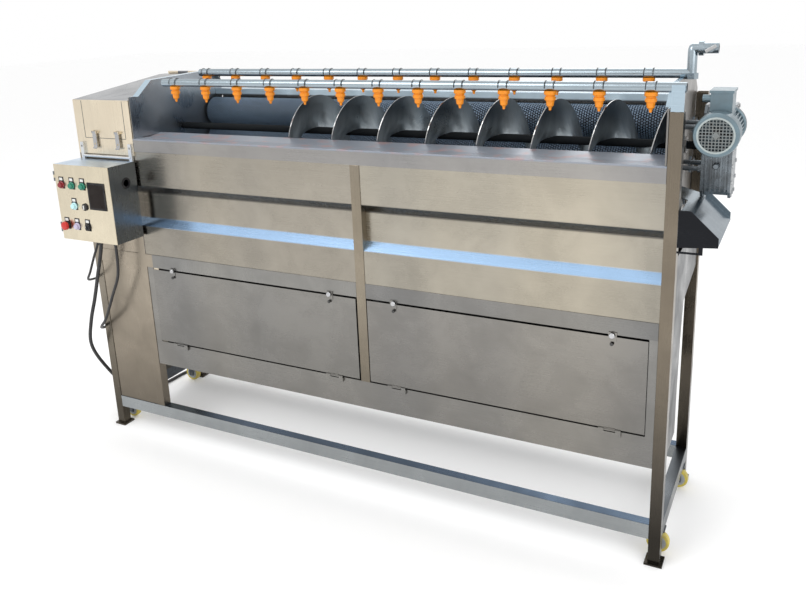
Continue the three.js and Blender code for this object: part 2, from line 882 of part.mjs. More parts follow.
// Rear sheet with its folded top rail and the rear mid rail that the tank rests on
function makeRearPanel() {
  const rail = tubeX(postSize + seam, rightPostLeft - seam, rearPostFront, frameWidth,
      midRailBottom + midRailHeight,
    midRailTop + midRailHeight);
  const skin = block(postSize + seam, rightPostLeft - seam, frameWidth - sheet, frameWidth,
    midRailTop + midRailHeight - tubeWall, leftPostTop);
  const upperSkin = block(leftPlateRight + seam, rightPlateX - seam, frameWidth - sheet, frameWidth,
    leftPostTop - sheet, rearRailBottom + sheet);
  const topRail = tubeX(leftPlateRight + seam, rightPlateX - seam, frameWidth - rearRailDepth, frameWidth,
    rearRailBottom, rearRailTop);
  part('rear_panel', join([rail, skin, upperSkin, topRail]), brushed);
}

// Water tank: a sloped floor under the brushes and a deep sump behind the doors
function makeTank() {
  const wallPath = [[tankFront, tankTop], [tankFront, sumpBottom], [sumpWaistRear, sumpBottom],
    [sumpWaistRear, sumpWaistHeight], [sumpShoulderRear, sumpShoulderHeight],
    [floorFrontReach, floorFrontHeight], [tankRear, floorRearHeight], [tankRear, tankTop]];
  const shell = runX(folded(wallPath, sheet), tankLeft, tankRight);
  const ends = [[tankLeft, tankLeft + sheet], [tankRight - sheet, tankRight]].map(([from, to]) =>
    runX(wallPath, from, to));
  const ledgeZ = midRailTop + seam;
  const rearLedgeZ = midRailTop + midRailHeight + seam;
  const ledgeSpans = [[tankLeft, middlePostLeft - seam], [middlePostRight + seam, rightPostLeft - seam]];
  const frontLedges = ledgeSpans.map(([from, to]) => block(from, to, tankLedgeInset + sheet * 2,
    tankFront + sheet / 2, ledgeZ, ledgeZ + sheet));
  const rearLedge = block(tankLeft, rightPostLeft - seam, tankRear - sheet / 2, frameWidth - sheet - seam,
    rearLedgeZ, rearLedgeZ + sheet);
  const drainX = tankRight - postSize - drainRadius;
  const drainY = (tankFront + sumpWaistRear) / 2;
  const drain = rodZ(sumpBottom - drainLength, sumpBottom + sheet / 2, drainX, drainY, drainRadius,
      smallSides);
  const bore = rodZ(sumpBottom - drainLength - overrun, sumpBottom + overrun, drainX, drainY, drainBore,
      smallSides);
  part('tank', cut(join([shell, ...ends, ...frontLedges, rearLedge, drain]), [bore]), brushed);
}

function rollerCentre(number) {
  const angle = THREE.MathUtils.degToRad(rollerFirstAngleDeg - rollerStepAngleDeg * number);
  return [augerY + rollerCircle * Math.cos(angle), augerZ + rollerCircle * Math.sin(angle)];
}

const rollerCentres = Array.from({ length: rollerCount }, (_, number) => rollerCentre(number));

// Hood-shaped end plate with a folded bright flange over its front slope
function endPlateOutline() {
  return [[coverReach + sheet, plateBottom], [plateRear, plateBottom], [plateRear, hoodFrontTop],
    [hoodCrestRear, hoodCrestTop], [hoodSlopeRear, hoodSlopeTop], [hoodFlangeFront, hoodFrontTop],
    [plateFrontReach, hoodFrontTop], [plateFrontReach, railTop + seam],
        [coverReach + sheet, railTop + seam]];
}

function bearing(x0, x1, y, z) {
  return rodX(x0, x1, y, z, bearingRadius, smallSides);
}

function endPlateBody(x0, bearingSide, flangeFrom, flangeTo) {
  const x1 = x0 + plateThickness;
  const plate = runX(endPlateOutline(), x0, x1);
  const flangePath = [[hoodFlangeFront, hoodFrontTop], [hoodSlopeRear, hoodSlopeTop],
      [hoodCrestRear, hoodCrestTop],
    [plateRear, hoodFrontTop]];
  const flange = runX(folded(flangePath, -sheet), flangeFrom, flangeTo);
  const collarX = bearingSide < 0 ? [x0 - bearingHeight, x0 + sheet] : [x1 - sheet, x1 + bearingHeight];
  const collars = [...rollerCentres, [augerY, augerZ]].map(([y, z]) => bearing(...collarX, y, z));
  const body = join([plate, flange, ...collars]);
  const reach = [x0 - bearingHeight - overrun, x1 + bearingHeight + overrun];
  const bores = rollerCentres.map(([y, z]) => rodX(...reach, y, z,
    holeRadius(rollerShaftRadius + bearingClearance)));
  bores.push(rodX(...reach, augerY, augerZ, holeRadius(journalRadius + bearingClearance)));
  return cut(body, bores);
}

function makeEndPlates() {
  const left = endPlateBody(leftPlateX, -1, leftPlateX, leftPlateX + hoodFlange);
  part('left_end_plate', left, paleSteel);
  const right = endPlateBody(rightPlateX, 1, rightPlateX - hoodFlangeReach, rightPlateRight);
  const exit = block(rightPlateX - overrun, rightPlateRight + overrun, exitFront, exitRear, exitBottom,
      exitTop);
  const pipeNotch = rodX(rightPlateX - hoodFlange, rightPlateRight + overrun, rearPipeY, rearPipeZ,
    pipeRadius + pipeNotchClearance, smallSides);
  part('right_end_plate', cut(right, [exit, pipeNotch]), paleSteel);
}

function toothedOutline(y, z, phase) {
  const points = [];
  for (let at = 0; at < toothCount * 2; at += 1) {
    const radius = sprocketRadius - (at % 2 ? toothHeight : 0);
    const angle = phase + (Math.PI * at) / toothCount;
    points.push([y + radius * Math.cos(angle), z + radius * Math.sin(angle)]);
  }
  return points;
}

function sprocket(y, z) {
  return runX(toothedOutline(y, z, 0), sprocketLeft, sprocketLeft + sprocketWidth);
}

// Brush strands stand radially on the core, one to a golden-angle step along it
function bristles(y, z) {
  const goldenAngle = Math.PI * (3 - Math.sqrt(5));
  const pitch = (rollerRight - rollerLeft) / bristlesPerRoller;
  const length = bristleLength + bristleSink;
  const strands = [];
  for (let at = 0; at < bristlesPerRoller; at += 1) {
    const strand = new THREE.ConeGeometry(bristleRadius, length, strandSides);
    strand.translate(0, rollerCoreRadius - bristleSink + length / 2, 0);
    strand.rotateX(at * goldenAngle);
    strand.translate(rollerLeft + (at + 0.5) * pitch, y, z);
    strands.push(solid(strand));
  }
  return strands;
}

function makeRollers() {
  rollerCentres.forEach(([y, z], number) => {
    const radius = number < rollerCount - 1 ? rollerCoreRadius : rollerOuterRadius;
    const core = turnedX([[sprocketLeft, 0], [sprocketLeft, rollerShaftRadius],
        [rollerLeft, rollerShaftRadius],
      [rollerLeft, radius], [rollerRight, radius], [rollerRight, rollerShaftRadius],
      [rollerShaftRight, rollerShaftRadius], [rollerShaftRight, 0]], y, z, roundSides);
    const strands = number < rollerCount - 1 ? bristles(y, z) : [];
    part(`brush_roller_${number + 1}`, join([core, sprocket(y, z), ...strands]), plastic(0x3a4148, 0.7));
  });
}

// Helical flight: the angle is measured from the top, towards the front
function flight() {
  const start = flightTopLeft - flightPitch * flightLeadShare;
  const turns = (flightRight - start) / flightPitch;
  const steps = Math.round(turns * flightStepsPerTurn);
  const innerRadius = augerTubeRadius - augerTubeWall / 2;
  const positions = [];
  for (let step = 0; step <= steps; step += 1) {
    const turn = (turns * step) / steps;
    const angle = 2 * Math.PI * (flightLeadShare - turn);
    const x = start + flightPitch * turn;
    const corners = [[-flightThickness / 2, innerRadius], [flightThickness / 2, innerRadius],
      [flightThickness / 2, flightRadius], [-flightThickness / 2, flightRadius]];
    for (const [shift, radius] of corners) {
      positions.push(x + shift, augerY - radius * Math.sin(angle), augerZ + radius * Math.cos(angle));
    }
  }
  const index = [0, 1, 2, 0, 2, 3];
  for (let step = 0; step < steps; step += 1) {
    for (let side = 0; side < flightSides; side += 1) {
      const a = step * flightSides + side;
      const b = step * flightSides + ((side + 1) % flightSides);
      index.push(a, a + flightSides, b, b, a + flightSides, b + flightSides);
    }
  }
  const last = steps * flightSides;
  index.push(last, last + 2, last + 1, last, last + 3, last + 2);
  const geometry = new THREE.BufferGeometry();
  geometry.setAttribute('position', new THREE.Float32BufferAttribute(positions, 3));
  geometry.setIndex(index);
  return solid(geometry);
}

// Auger: a tube with end journals, bored through its left journal, and the flight welded on
function makeAuger() {
  const tubeLeft = rollerLeft;
  const tubeRight = flightRight;
  const bore = augerTubeRadius - augerTubeWall;
  const shaft = turnedX([[journalLeft, journalBore], [journalLeft, journalRadius], [tubeLeft, journalRadius],
    [tubeLeft, augerTubeRadius], [tubeRight, augerTubeRadius], [tubeRight, journalRadius],
    [journalRight, journalRadius], [journalRight, 0], [tubeRight - augerTubeWall, 0],
    [tubeRight - augerTubeWall, bore], [tubeLeft + augerTubeWall, bore],
    [tubeLeft + augerTubeWall, journalBore], [journalLeft, journalBore]], augerY, augerZ, roundSides);
  part('auger', join([shaft, flight()]), darkSteel);
}

// Chain loop: all sprockets are alike, so its runs are the sides of the centre polygon moved out
function chainOutline(centres, radius, PathClass) {
  const path = new PathClass();
  const count = centres.length;
  const outward = centres.map(([y, z], at) => {
    const [ny, nz] = centres[(at + 1) % count];
    return Math.atan2(nz - z, ny - y) - Math.PI / 2;
  });
  centres.forEach(([y, z], at) => {
    const from = outward[(at + count - 1) % count];
    let to = outward[at];
    while (to < from) {
      to += Math.PI * 2;
    }
    path.absarc(y, z, radius, from, to, false);
  });
  path.closePath();
  return path;
}

function makeChain() {
  const ordered = [...rollerCentres].reverse();
  const centres = [...ordered, [driveY, driveZ]];
  const inner = sprocketRadius + chainClearance;
  const loop = chainOutline(centres, inner + chainThickness, THREE.Shape);
  loop.holes.push(chainOutline(centres, inner, THREE.Path));
  const geometry = new THREE.ExtrudeGeometry(loop,
    { depth: sprocketWidth + chainOverhang * 2, bevelEnabled: false, steps: 1,
        curveSegments: linkCurveSteps });
  geometry.translate(0, 0, sprocketLeft - chainOverhang);
  geometry.applyMatrix4(alongX);
  part('drive_chain', solid(geometry), steel(0x4c4a46, 0.5));
}

function makeDriveSprocket() {
  const wheel = sprocket(driveY, driveZ);
  const stub = rodX(sprocketLeft - driveShaftLength, sprocketLeft + sprocketWidth / 2, driveY, driveZ,
    driveShaftRadius);
  part('drive_sprocket', join([wheel, stub]), darkSteel);
}

function makeRollerGearmotor() {
  const headLeft = gearmotorRight - gearmotorHeadLength;
  const barrel = rodX(gearmotorLeft, headLeft + sheet, driveY, driveZ, gearmotorRadius, roundSides);
  const shelfTop = driveZ - gearmotorRadius - gearmotorFootHeight;
  const head = block(headLeft, gearmotorRight, driveY - gearmotorRadius, driveY + gearmotorRadius,
    shelfTop + seam, driveZ + gearmotorRadius);
  const foot = block(headLeft - gearmotorHeadLength, gearmotorRight, driveY - gearmotorFootWidth / 2,
    driveY + gearmotorFootWidth / 2, shelfTop + seam, shelfTop + gearmotorFootHeight);
  const web = block(headLeft - gearmotorHeadLength, headLeft + sheet, driveY - gearmotorRadius / 2,
    driveY + gearmotorRadius / 2, shelfTop + gearmotorFootHeight / 2, driveZ);
  const bore = rodX(sprocketLeft - driveShaftLength - seam, gearmotorRight + overrun, driveY, driveZ,
    holeRadius(driveShaftRadius + bearingClearance));
  part('roller_gearmotor', cut(join([barrel, head, foot, web]), [bore]), castGrey);
}

// Left cabinet: the bay's side sheet below, the open-topped drive housing with its motor shelf above
function makeLeftCabinet() {
  const top = leftPostTop + seam;
  const side = block(panelInset, panelInset + sheet, postSize + seam, rearPostFront - seam,
      beamTop + seam, top + sheet);
  const sideWall = runX([[0, top], [frameWidth, top], [frameWidth, housingRearTop],
      [slopeRear, housingRearTop],
    [0, housingFrontTop]], 0, sheet * 2);
  const floorPath = block(0, housingRight - bearingHeight * 2, 0, frameWidth, top, top + sheet);
  const front = block(0, housingRight, 0, sheet, top, bandTop);
  const stileLeft = block(0, flapLeft - seam, 0, sheet, top, housingFrontTop);
  const stileRight = block(flapRight + seam, housingRight, 0, sheet, top, housingFrontTop);
  const rear = block(0, housingRight, frameWidth - sheet, frameWidth, top, housingRearTop);
  const shelfTop = driveZ - gearmotorRadius - gearmotorFootHeight;
  const shelf = block(sheet, shelfReach, sheet * 2, frameWidth - sheet / 2, shelfTop - shelfThickness,
      shelfTop);
  const knuckles = [];
  for (const [from, to] of lidKnuckleSpans(false)) {
    knuckles.push(rodX(from, to, lidHingeY, lidHingeZ, lidHingeRadius, hingeSides));
    knuckles.push(block(from, to, frameWidth - sheet / 2, lidHingeY + lidPinRadius,
      housingRearTop - lidLeafDrop, lidHingeZ));
  }
  const pin = rodX(lidKnuckleStart + overrun, lidKnuckleStart + lidKnuckle * lidKnuckles - overrun * 2,
      lidHingeY, lidHingeZ,
    lidPinRadius, hingeSides);
  const chainWindow = block(sprocketLeft - chainThickness, housingRight - bearingHeight, sheet * 2,
    frameWidth - sheet * 2, top - overrun, top + sheet + overrun);
  const catches = [latchLeftX, latchRightX].map((x) => rodY(-latchPivotReach - latchThickness, sheet / 2, x,
    latchPivotZ - catchDrop, latchPinRadius, hingeSides));
  const body = join([side, sideWall, floorPath, front, stileLeft, stileRight, rear, shelf, ...knuckles,
    pin, ...catches]);
  part('left_cabinet', cut(body, [chainWindow]), brushed);
}

const lidKnuckleStart = (housingRight - lidKnuckle * lidKnuckles) / 2;

// Five knuckles in a row: the second and fourth belong to the lid
function lidKnuckleSpans(onLid) {
  const spans = [];
  for (let at = 0; at < lidKnuckles; at += 1) {
    const isLid = at % 2 === 1;
    if (isLid === onLid) {
      const from = lidKnuckleStart + at * lidKnuckle;
      spans.push([from + seam, from + lidKnuckle - seam]);
    }
  }
  return spans;
}

// Lid: the sloped top, the front flap and the ears that carry the draw latches
function makeDriveLid() {
  const rise = seam;
  const topPath = [[0, housingFrontTop + rise], [slopeRear, housingRearTop + rise],
    [lidTongueFront, housingRearTop + rise]];
  const top = runX(folded(topPath, sheet), 0, housingRight);
  const flap = block(flapLeft, flapRight, 0, sheet, bandTop + seam, housingFrontTop + rise + sheet / 2);
  const pieces = [top, flap];
  for (const [from, to] of lidKnuckleSpans(true)) {
    pieces.push(rodX(from, to, lidHingeY, lidHingeZ, lidHingeRadius, hingeSides));
    pieces.push(block(from, to, lidTongueFront - overrun, lidHingeY, housingRearTop + rise,
      housingRearTop + rise + sheet));
  }
  for (const x of [latchLeftX, latchRightX]) {
    for (const side of [-1, 1]) {
      const inner = x + side * (latchWidth / 2 + seam);
      const outer = inner + side * latchEar;
      pieces.push(block(Math.min(inner, outer), Math.max(inner, outer),
          -latchPivotReach - latchPinRadius * 2,
        sheet / 2, latchPivotZ - latchPinRadius * 2, latchPivotZ + latchPinRadius * 2));
    }
  }
  const bores = lidKnuckleSpans(true).map(([from, to]) => rodX(from - overrun, to + overrun, lidHingeY,
      lidHingeZ,
    holeRadius(lidPinRadius + seam, hingeSides), hingeSides));
  for (const x of [latchLeftX, latchRightX]) {
    const half = latchWidth / 2 + latchEar + overrun;
    bores.push(rodX(x - half, x + half, -latchPivotReach, latchPivotZ,
        holeRadius(latchPinRadius + seam, hingeSides),
      hingeSides));
  }
  part('drive_lid', cut(join(pieces), bores), brushed);
}

// Latch lever: hangs from its pin in the lid's ears and closes over the housing's stud
function makeLatch(name, x) {
  const half = latchWidth / 2;
  const pinHalf = half + latchEar;
  const back = -latchPivotReach + latchPinRadius / 2;
  const pin = rodX(x - pinHalf, x + pinHalf, -latchPivotReach, latchPivotZ, latchPinRadius, hingeSides);
  const eye = rodX(x - half, x + half, -latchPivotReach, latchPivotZ, latchPinRadius * 2, hingeSides);
  const lever = block(x - half, x + half, back - latchThickness, back, latchPivotZ - latchLength,
      latchPivotZ);
  const lip = runX([[back - latchThickness, latchPivotZ - latchLength + latchThickness],
    [back - latchHookReach, latchPivotZ - latchLength - latchThickness],
    [back - latchThickness * 2, latchPivotZ - latchLength - latchThickness * 2],
    [back, latchPivotZ - latchLength]], x - half, x + half);
  const hole = rodY(back - latchThickness * 2, back + latchThickness, x, latchPivotZ - catchDrop,
    latchPinRadius * 2, hingeSides);
  part(name, cut(join([pin, eye, lever, lip]), [hole]), zinc);
}

function makeLatches() {
  makeLatch('lid_latch_left', latchLeftX);
  makeLatch('lid_latch_right', latchRightX);
}

const boxDoorFront = -(boxFront + boxDoorThickness);
const boxHingeX = boxLeft - boxHingeRadius - seam;
const boxHingeY = -boxFront - boxDoorThickness / 2;

function boxHingeSpans() {
  const low = boxBottom + boxHingeInset;
  const high = boxTop - boxHingeInset - boxHingeLength;
  return [low, high];
}

const boxKnuckle = boxHingeLength / boxKnuckles;

// Box shell, open at the front, with hanging ears, their bar, stand-offs and the cable hole
function makeControlBox() {
  const outer = block(boxLeft, boxRight, -boxFront + seam, -boxBack, boxBottom, boxTop);
  const inner = block(boxLeft + boxSheet, boxRight - boxSheet, -boxFront - overrun, -boxBack - boxSheet,
    boxBottom + boxSheet, boxTop - boxSheet);
  const hole = rodX(boxRight - boxSheet - overrun, boxRight + overrun, -cableHoleY, cableHoleZ,
      cableHoleRadius,
    roundSides);
  const pieces = [cut(outer, [inner, hole])];
  const ears = [boxLeft + earInset, boxRight - earInset - earWidth];
  for (const x of ears) {
    pieces.push(cut(block(x, x + earWidth, -earThickness - boxSheet, -seam, boxTop - earThickness, earTop),
      [rodY(-boxFront, postSize, x + earWidth / 2, earTop - earWidth, earWidth / 4)]));
  }
  pieces.push(rodX(ears[0] + earWidth / 2, ears[1] + earWidth / 2, -earThickness, hangBarZ, hangBarRadius));
  for (const x of [boxLeft, innerPostLeft + seam]) {
    pieces.push(block(x, x + standoffSide, -boxBack - boxSheet / 2, -seam, boxBottom,
        boxBottom + standoffSide));
  }
  for (const z of boxHingeSpans()) {
    for (const from of [z, z + boxHingeLength - boxKnuckle]) {
      const to = from + boxKnuckle;
      pieces.push(rodZ(from, to, boxHingeX, boxHingeY, boxHingeRadius, hingeSides));
      pieces.push(block(boxHingeX, boxLeft + boxSheet, -boxFront + seam, boxHingeY + boxHingeRadius * 2,
          from, to));
    }
    pieces.push(rodZ(z + overrun, z + boxHingeLength - overrun, boxHingeX, boxHingeY, boxHingePinRadius,
        hingeSides));
  }
  part('control_box', join(pieces), brushed);
}

const controlPlaces = {
  start_button_red: [controlColumnLeft, controlRowTop],
  start_button_green_left: [controlColumnMiddle, controlRowTop],
  start_button_green_right: [controlColumnRight, controlRowTop],
  pump_button: [controlColumnMiddle, controlRowMiddle],
  speed_knob: [controlColumnRight, controlRowMiddle],
  emergency_stop: [controlColumnLeft, controlRowBottom],
  power_button: [controlColumnMiddle, controlRowBottom],
  mode_selector: [controlColumnRight, controlRowBottom],
};

// Box door with bezels, label plates, the display frame and its hinge knuckles
function makeControlBoxDoor() {
  const pieces = [block(boxLeft, boxRight, boxDoorFront, -boxFront, boxBottom, boxTop)];
  const bores = [];
  for (const [name, [x, z]] of Object.entries(controlPlaces)) {
    pieces.push(rodY(boxDoorFront - bezelHeight, -boxFront - boxDoorThickness / 2, x, z, bezelRadius));
    bores.push(rodY(boxDoorFront - bezelHeight - overrun, -boxFront + overrun, x, z,
        capRadius + capClearance * 2));
    if (name !== 'speed_knob') {
      pieces.push(block(x - labelWidth / 2, x + labelWidth / 2, boxDoorFront - labelThickness,
        boxDoorFront + boxDoorThickness / 2, z + labelRise - labelHeight / 2,
            z + labelRise + labelHeight / 2));
    }
  }
  pieces.push(block(displayLeft - displayFrame, displayRight + displayFrame,
      boxDoorFront - labelThickness * 2,
    -boxFront + displayDepth, displayBottom - displayFrame, displayTop + displayFrame));
  bores.push(block(displayLeft, displayRight, boxDoorFront - overrun, boxDoorFront + displayRecess,
      displayBottom,
    displayTop));
  for (const z of boxHingeSpans()) {
    const from = z + boxKnuckle + seam;
    const to = z + boxHingeLength - boxKnuckle - seam;
    pieces.push(rodZ(from, to, boxHingeX, boxHingeY, boxHingeRadius, hingeSides));
    pieces.push(block(boxHingeX, boxLeft + boxSheet, boxDoorFront, -boxFront, from, to));
    bores.push(rodZ(z, z + boxHingeLength, boxHingeX, boxHingeY,
        holeRadius(boxHingePinRadius + seam, hingeSides),
      hingeSides));
  }
  part('control_box_door', cut(join(pieces), bores), brushed);
}

const stemBack = -boxFront + seam + stemCollarLength;

// Sprung cap in its bezel, on a stem held by a collar behind the door
function makeButton(name, colour) {
  const [x, z] = controlPlaces[name];
  const capFront = boxDoorFront - buttonTravel - capLength;
  const body = turnedY([[capFront, 0], [capFront, capRadius], [-boxFront + seam, capRadius],
    [-boxFront + seam, stemCollarRadius], [stemBack, stemCollarRadius], [stemBack, 0]], x, z, smallSides);
  part(name, body, plastic(colour, 0.35));
}

function makeEmergencyStop() {
  const [x, z] = controlPlaces.emergency_stop;
  const headBack = boxDoorFront - bezelHeight - buttonTravel - capClearance;
  const headFront = headBack - mushroomLength;
  const body = turnedY([[headFront, 0], [headFront, capRadius], [headFront + buttonTravel, mushroomRadius],
    [headBack, mushroomRadius], [headBack, capRadius], [-boxFront + seam, capRadius],
    [-boxFront + seam, stemCollarRadius], [stemBack, stemCollarRadius], [stemBack, 0]], x, z, smallSides);
  part('emergency_stop', body, plastic(0xc8281e, 0.35));
}

// Turning control: a round base in the bezel with a raised grip across it
function makeTurningControl(name, colour, baseLength, gripHeight) {
  const [x, z] = controlPlaces[name];
  const capFront = boxDoorFront - bezelHeight - baseLength;
  const body = turnedY([[capFront, 0], [capFront, capRadius], [-boxFront + seam, capRadius],
    [-boxFront + seam, stemCollarRadius], [stemBack, stemCollarRadius], [stemBack, 0]], x, z, smallSides);
  const grip = block(x - handleWidth / 2, x + handleWidth / 2, capFront - gripHeight, capFront + sheet,
    z - capRadius + sheet, z + capRadius - sheet);
  part(name, join([body, grip]), plastic(colour, 0.45));
}

function makeControls() {
  makeButton('start_button_red', 0x9c2430);
  makeButton('start_button_green_left', 0x1f7f66);
  makeButton('start_button_green_right', 0x1f8f6c);
  makeButton('pump_button', 0x9fc9c4);
  makeButton('power_button', 0xb9b4c6);
  makeEmergencyStop();
  makeTurningControl('speed_knob', 0x26262a, sheet, handleHeight / 2);
  makeTurningControl('mode_selector', 0x1c1c20, sheet, handleHeight);
}

// Worm gearbox on the auger's journal: two flanges, a ribbed case, stand-off bolts to the end plate
function makeAugerGearbox() {
  const corner = (low, high, front, rear) => [[front + gearboxCorner, low], [rear - gearboxCorner, low],
    [rear, low + gearboxCorner], [rear, high - gearboxCorner], [rear - gearboxCorner, high],
    [front + gearboxCorner, high], [front, high - gearboxCorner], [front, low + gearboxCorner]];
  const rise = gearboxFlangeRise;
  const caseOutline = corner(gearboxBottom + rise, gearboxTop - rise, gearboxFront + rise,
      gearboxRear - rise);
  const flangeOutline = corner(gearboxBottom, gearboxTop, gearboxFront, gearboxRear);
  const pieces = [runX(caseOutline, gearboxLeft, gearboxRight)];
  pieces.push(runX(flangeOutline, gearboxLeft, gearboxLeft + gearboxFlange));
  pieces.push(runX(flangeOutline, gearboxRight - gearboxFlange, gearboxRight));
  const ribSpan = gearboxRight - gearboxLeft - gearboxFlange * 2;
  for (let at = 0; at < gearboxRibs; at += 1) {
    const x = gearboxLeft + gearboxFlange + (ribSpan * (at + 0.5)) / gearboxRibs;
    pieces.push(block(x - gearboxRibWidth / 2, x + gearboxRibWidth / 2,
        gearboxFront + rise - gearboxRibHeight,
      gearboxFront + rise + sheet, gearboxBottom + gearboxCorner, augerZ + gearboxCorner));
  }
  const middleX = (gearboxLeft + gearboxRight) / 2;
  pieces.push(rodY(gearboxFront + rise - gearboxRibHeight - oilPlugHeight, gearboxFront + rise + sheet,
      middleX,
    oilPlugZ, oilPlugRadius));
  const inputFront = gearboxFront - motorFlangeThickness;
  pieces.push(rodY(inputFront, gearboxFront + rise + sheet, motorX, motorZ, motorFlangeRadius, roundSides));
  const bolts = [];
  for (const y of [gearboxFront + mountBoltInset, gearboxRear - mountBoltInset]) {
    for (const z of [augerZ - (gearboxRear - gearboxFront) / 2, augerZ + (gearboxRear - gearboxFront) / 2]) {
      bolts.push(rodX(rightPlateRight + seam, gearboxLeft + gearboxFlange / 2, y, z, mountBoltRadius));
      bolts.push(rodX(gearboxLeft - mountNutHeight, gearboxLeft + sheet, y, z, mountNutRadius, hingeSides));
    }
  }
  const bore = rodX(gearboxLeft - overrun, gearboxRight + overrun, augerY, augerZ,
    holeRadius(journalRadius + bearingClearance));
  part('auger_gearbox', cut(join([...pieces, ...bolts]), [bore]), castGrey);
}

// Motor: finned frame, flange, rear shield, terminal box and its cable to the end plate
function makeAugerMotor() {
  const rear = gearboxFront - motorFlangeThickness - seam;
  const finOutline = [];
  for (let at = 0; at < motorFins * finCorners; at += 1) {
    const radius = motorFrameRadius + (at % finCorners < finCorners / 2 ? motorFinHeight : 0);
    const angle = (2 * Math.PI * at) / (motorFins * finCorners);
    finOutline.push([motorX + radius * Math.cos(angle), motorZ + radius * Math.sin(angle)]);
  }
  const frame = runY(finOutline, motorFrameFront + motorShieldLength - sheet,
      rear - motorFlangeThickness + sheet);
  const flange = rodY(rear - motorFlangeThickness, rear, motorX, motorZ, motorFlangeRadius, roundSides);
  const shield = rodY(motorFrameFront, motorFrameFront + motorShieldLength, motorX, motorZ,
      motorShieldRadius,
    roundSides);
  const terminalRear = terminalFront + terminalLength;
  const terminal = block(terminalLeft, terminalRight, terminalFront, terminalRear,
      motorZ + motorFrameRadius / 2,
    terminalTop - terminalLid);
  const lid = block(terminalLeft - terminalLidOverhang, terminalRight + terminalLidOverhang,
    terminalFront - terminalLidOverhang, terminalRear + terminalLidOverhang, terminalTop - terminalLid,
        terminalTop);
  const glandY = terminalFront + motorGlandRadius + terminalLidOverhang;
  const gland = rodX(terminalLeft - motorGlandLength, terminalLeft + sheet, glandY, motorGlandZ,
      motorGlandRadius);
  const cableStart = terminalLeft - motorGlandLength + sheet;
  const route = [[0, 0, 0], [-16, 0, 0], [-34, 8, -26], [-40, 20, -66], [-56, 26, -86]];
  const [, lastAside, lastDrop] = route[route.length - 1];
  const bends = route.map(([dx, dy, dz]) => [cableStart + dx, glandY + dy, motorGlandZ + dz]);
  const cable = cord([...bends, [rightPlateRight + seam, glandY + lastAside, motorGlandZ + lastDrop]],
  motorCableRadius, motorCableSteps, leadSides);
  const bore = rodY(motorFrameFront - overrun, motorFrameFront + fanShaftLength, motorX, motorZ,
    holeRadius(fanShaftRadius + bearingClearance));
  part('auger_motor', cut(join([frame, flange, shield, terminal, lid, gland, cable]), [bore]), castGrey);
}

// Fan cowl with its grille of square holes
function makeFanCowl() {
  const rear = cowlFront + cowlLength;
  const shell = turnedY([[cowlFront, 0], [cowlFront, cowlRadius - cowlChamfer],
      [cowlFront + cowlChamfer, cowlRadius],
    [rear, cowlRadius], [rear, motorShieldRadius + seam], [cowlFront + cowlWall + cowlChamfer,
        motorShieldRadius + seam],
    [cowlFront + cowlWall, motorShieldRadius - cowlChamfer], [cowlFront + cowlWall, 0]], motorX, motorZ,
        roundSides);
  const holes = [];
  const reach = Math.floor(grilleRadius / grillePitch);
  for (let row = -reach; row <= reach; row += 1) {
    for (let column = -reach; column <= reach; column += 1) {
      const [dx, dz] = [column * grillePitch, row * grillePitch];
      if (Math.hypot(dx, dz) < grilleRadius && Math.hypot(dx, dz) > grillePitch / 2) {
        holes.push(block(motorX + dx - grilleHole / 2, motorX + dx + grilleHole / 2, cowlFront - overrun,
          cowlFront + cowlWall + overrun / 2, motorZ + dz - grilleHole / 2, motorZ + dz + grilleHole / 2));
      }
    }
  }
  part('fan_cowl', cut(shell, holes), steel(0x9da4a8, 0.45));
}

function makeMotorFan() {
  const rear = fanFront + fanLength;
  const hub = rodY(fanFront, rear, motorX, motorZ, fanHubRadius);
  const shaft = rodY(rear - sheet, motorFrameFront + fanShaftLength - sheet, motorX, motorZ, fanShaftRadius);
  const blades = [];
  for (let at = 0; at < fanBlades; at += 1) {
    const blade = new THREE.BoxGeometry(fanRadius - fanHubRadius / 2, fanLength - sheet * 2,
        fanBladeThickness);
    blade.translate((fanRadius + fanHubRadius / 2) / 2, 0, 0);
    blade.rotateY((2 * Math.PI * at) / fanBlades);
    blade.translate(motorX, (fanFront + rear) / 2, motorZ);
    blades.push(solid(blade));
  }
  part('motor_fan', join([hub, shaft, ...blades]), plastic(0x2a2c2e, 0.5));
}

// Discharge chute: bent floor, two cheeks and the strut below
function makeChute() {
  const floorPath = [[chuteFloorLeft, chuteFloorLeftZ], [chuteFloorBend, chuteFloorBendZ],
      [chuteLip, chuteFloorLipZ]];
  const innerFloor = runY(folded(floorPath, sheet), chuteInnerFront, chuteRear);
  const outerPath = [[chuteCheekLeft, chuteFloorLeftZ - (chuteFloorLeftZ - chuteFloorBendZ)
    * (chuteCheekLeft - chuteFloorLeft) / (chuteFloorBend - chuteFloorLeft)], ...floorPath.slice(1)];
  const outerFloor = runY(folded(outerPath, sheet), 0, chuteRear);
  const cheek = (y, top) => {
    const shoulderShare = (chuteCheekTop - top) / (chuteCheekTop - chuteLipTop);
    const shoulder = chuteShoulder + (chuteLip - chuteShoulder) * shoulderShare;
    return runY([[chuteCheekLeft, top], [shoulder, top], [chuteLip, chuteLipTop], [chuteLip, chuteLipBottom],
      [chuteCheekLeft, chuteCheekBottom]], y, y + sheet);
  };
  const cheeks = [cheek(0, chuteCheekTop), cheek(chuteRear - sheet, chuteRearCheekTop)];
  const strutTop = chuteCheekBottom + chuteStrutDrop;
  const strut = block(chuteStrutX, chuteStrutX + chuteStrutWidth, sheet / 2, sheet * 2,
    chuteCheekBottom - chuteStrutDrop / 2, strutTop);
  const foot = block(chuteCheekLeft, chuteStrutX + chuteStrutWidth, sheet / 2, sheet * 2,
    chuteCheekBottom - chuteStrutDrop / 2, chuteCheekBottom - chuteStrutDrop / 2 + chuteStrutWidth / 2);
  part('discharge_chute', join([innerFloor, outerFloor, ...cheeks, strut, foot]), paleSteel);
}

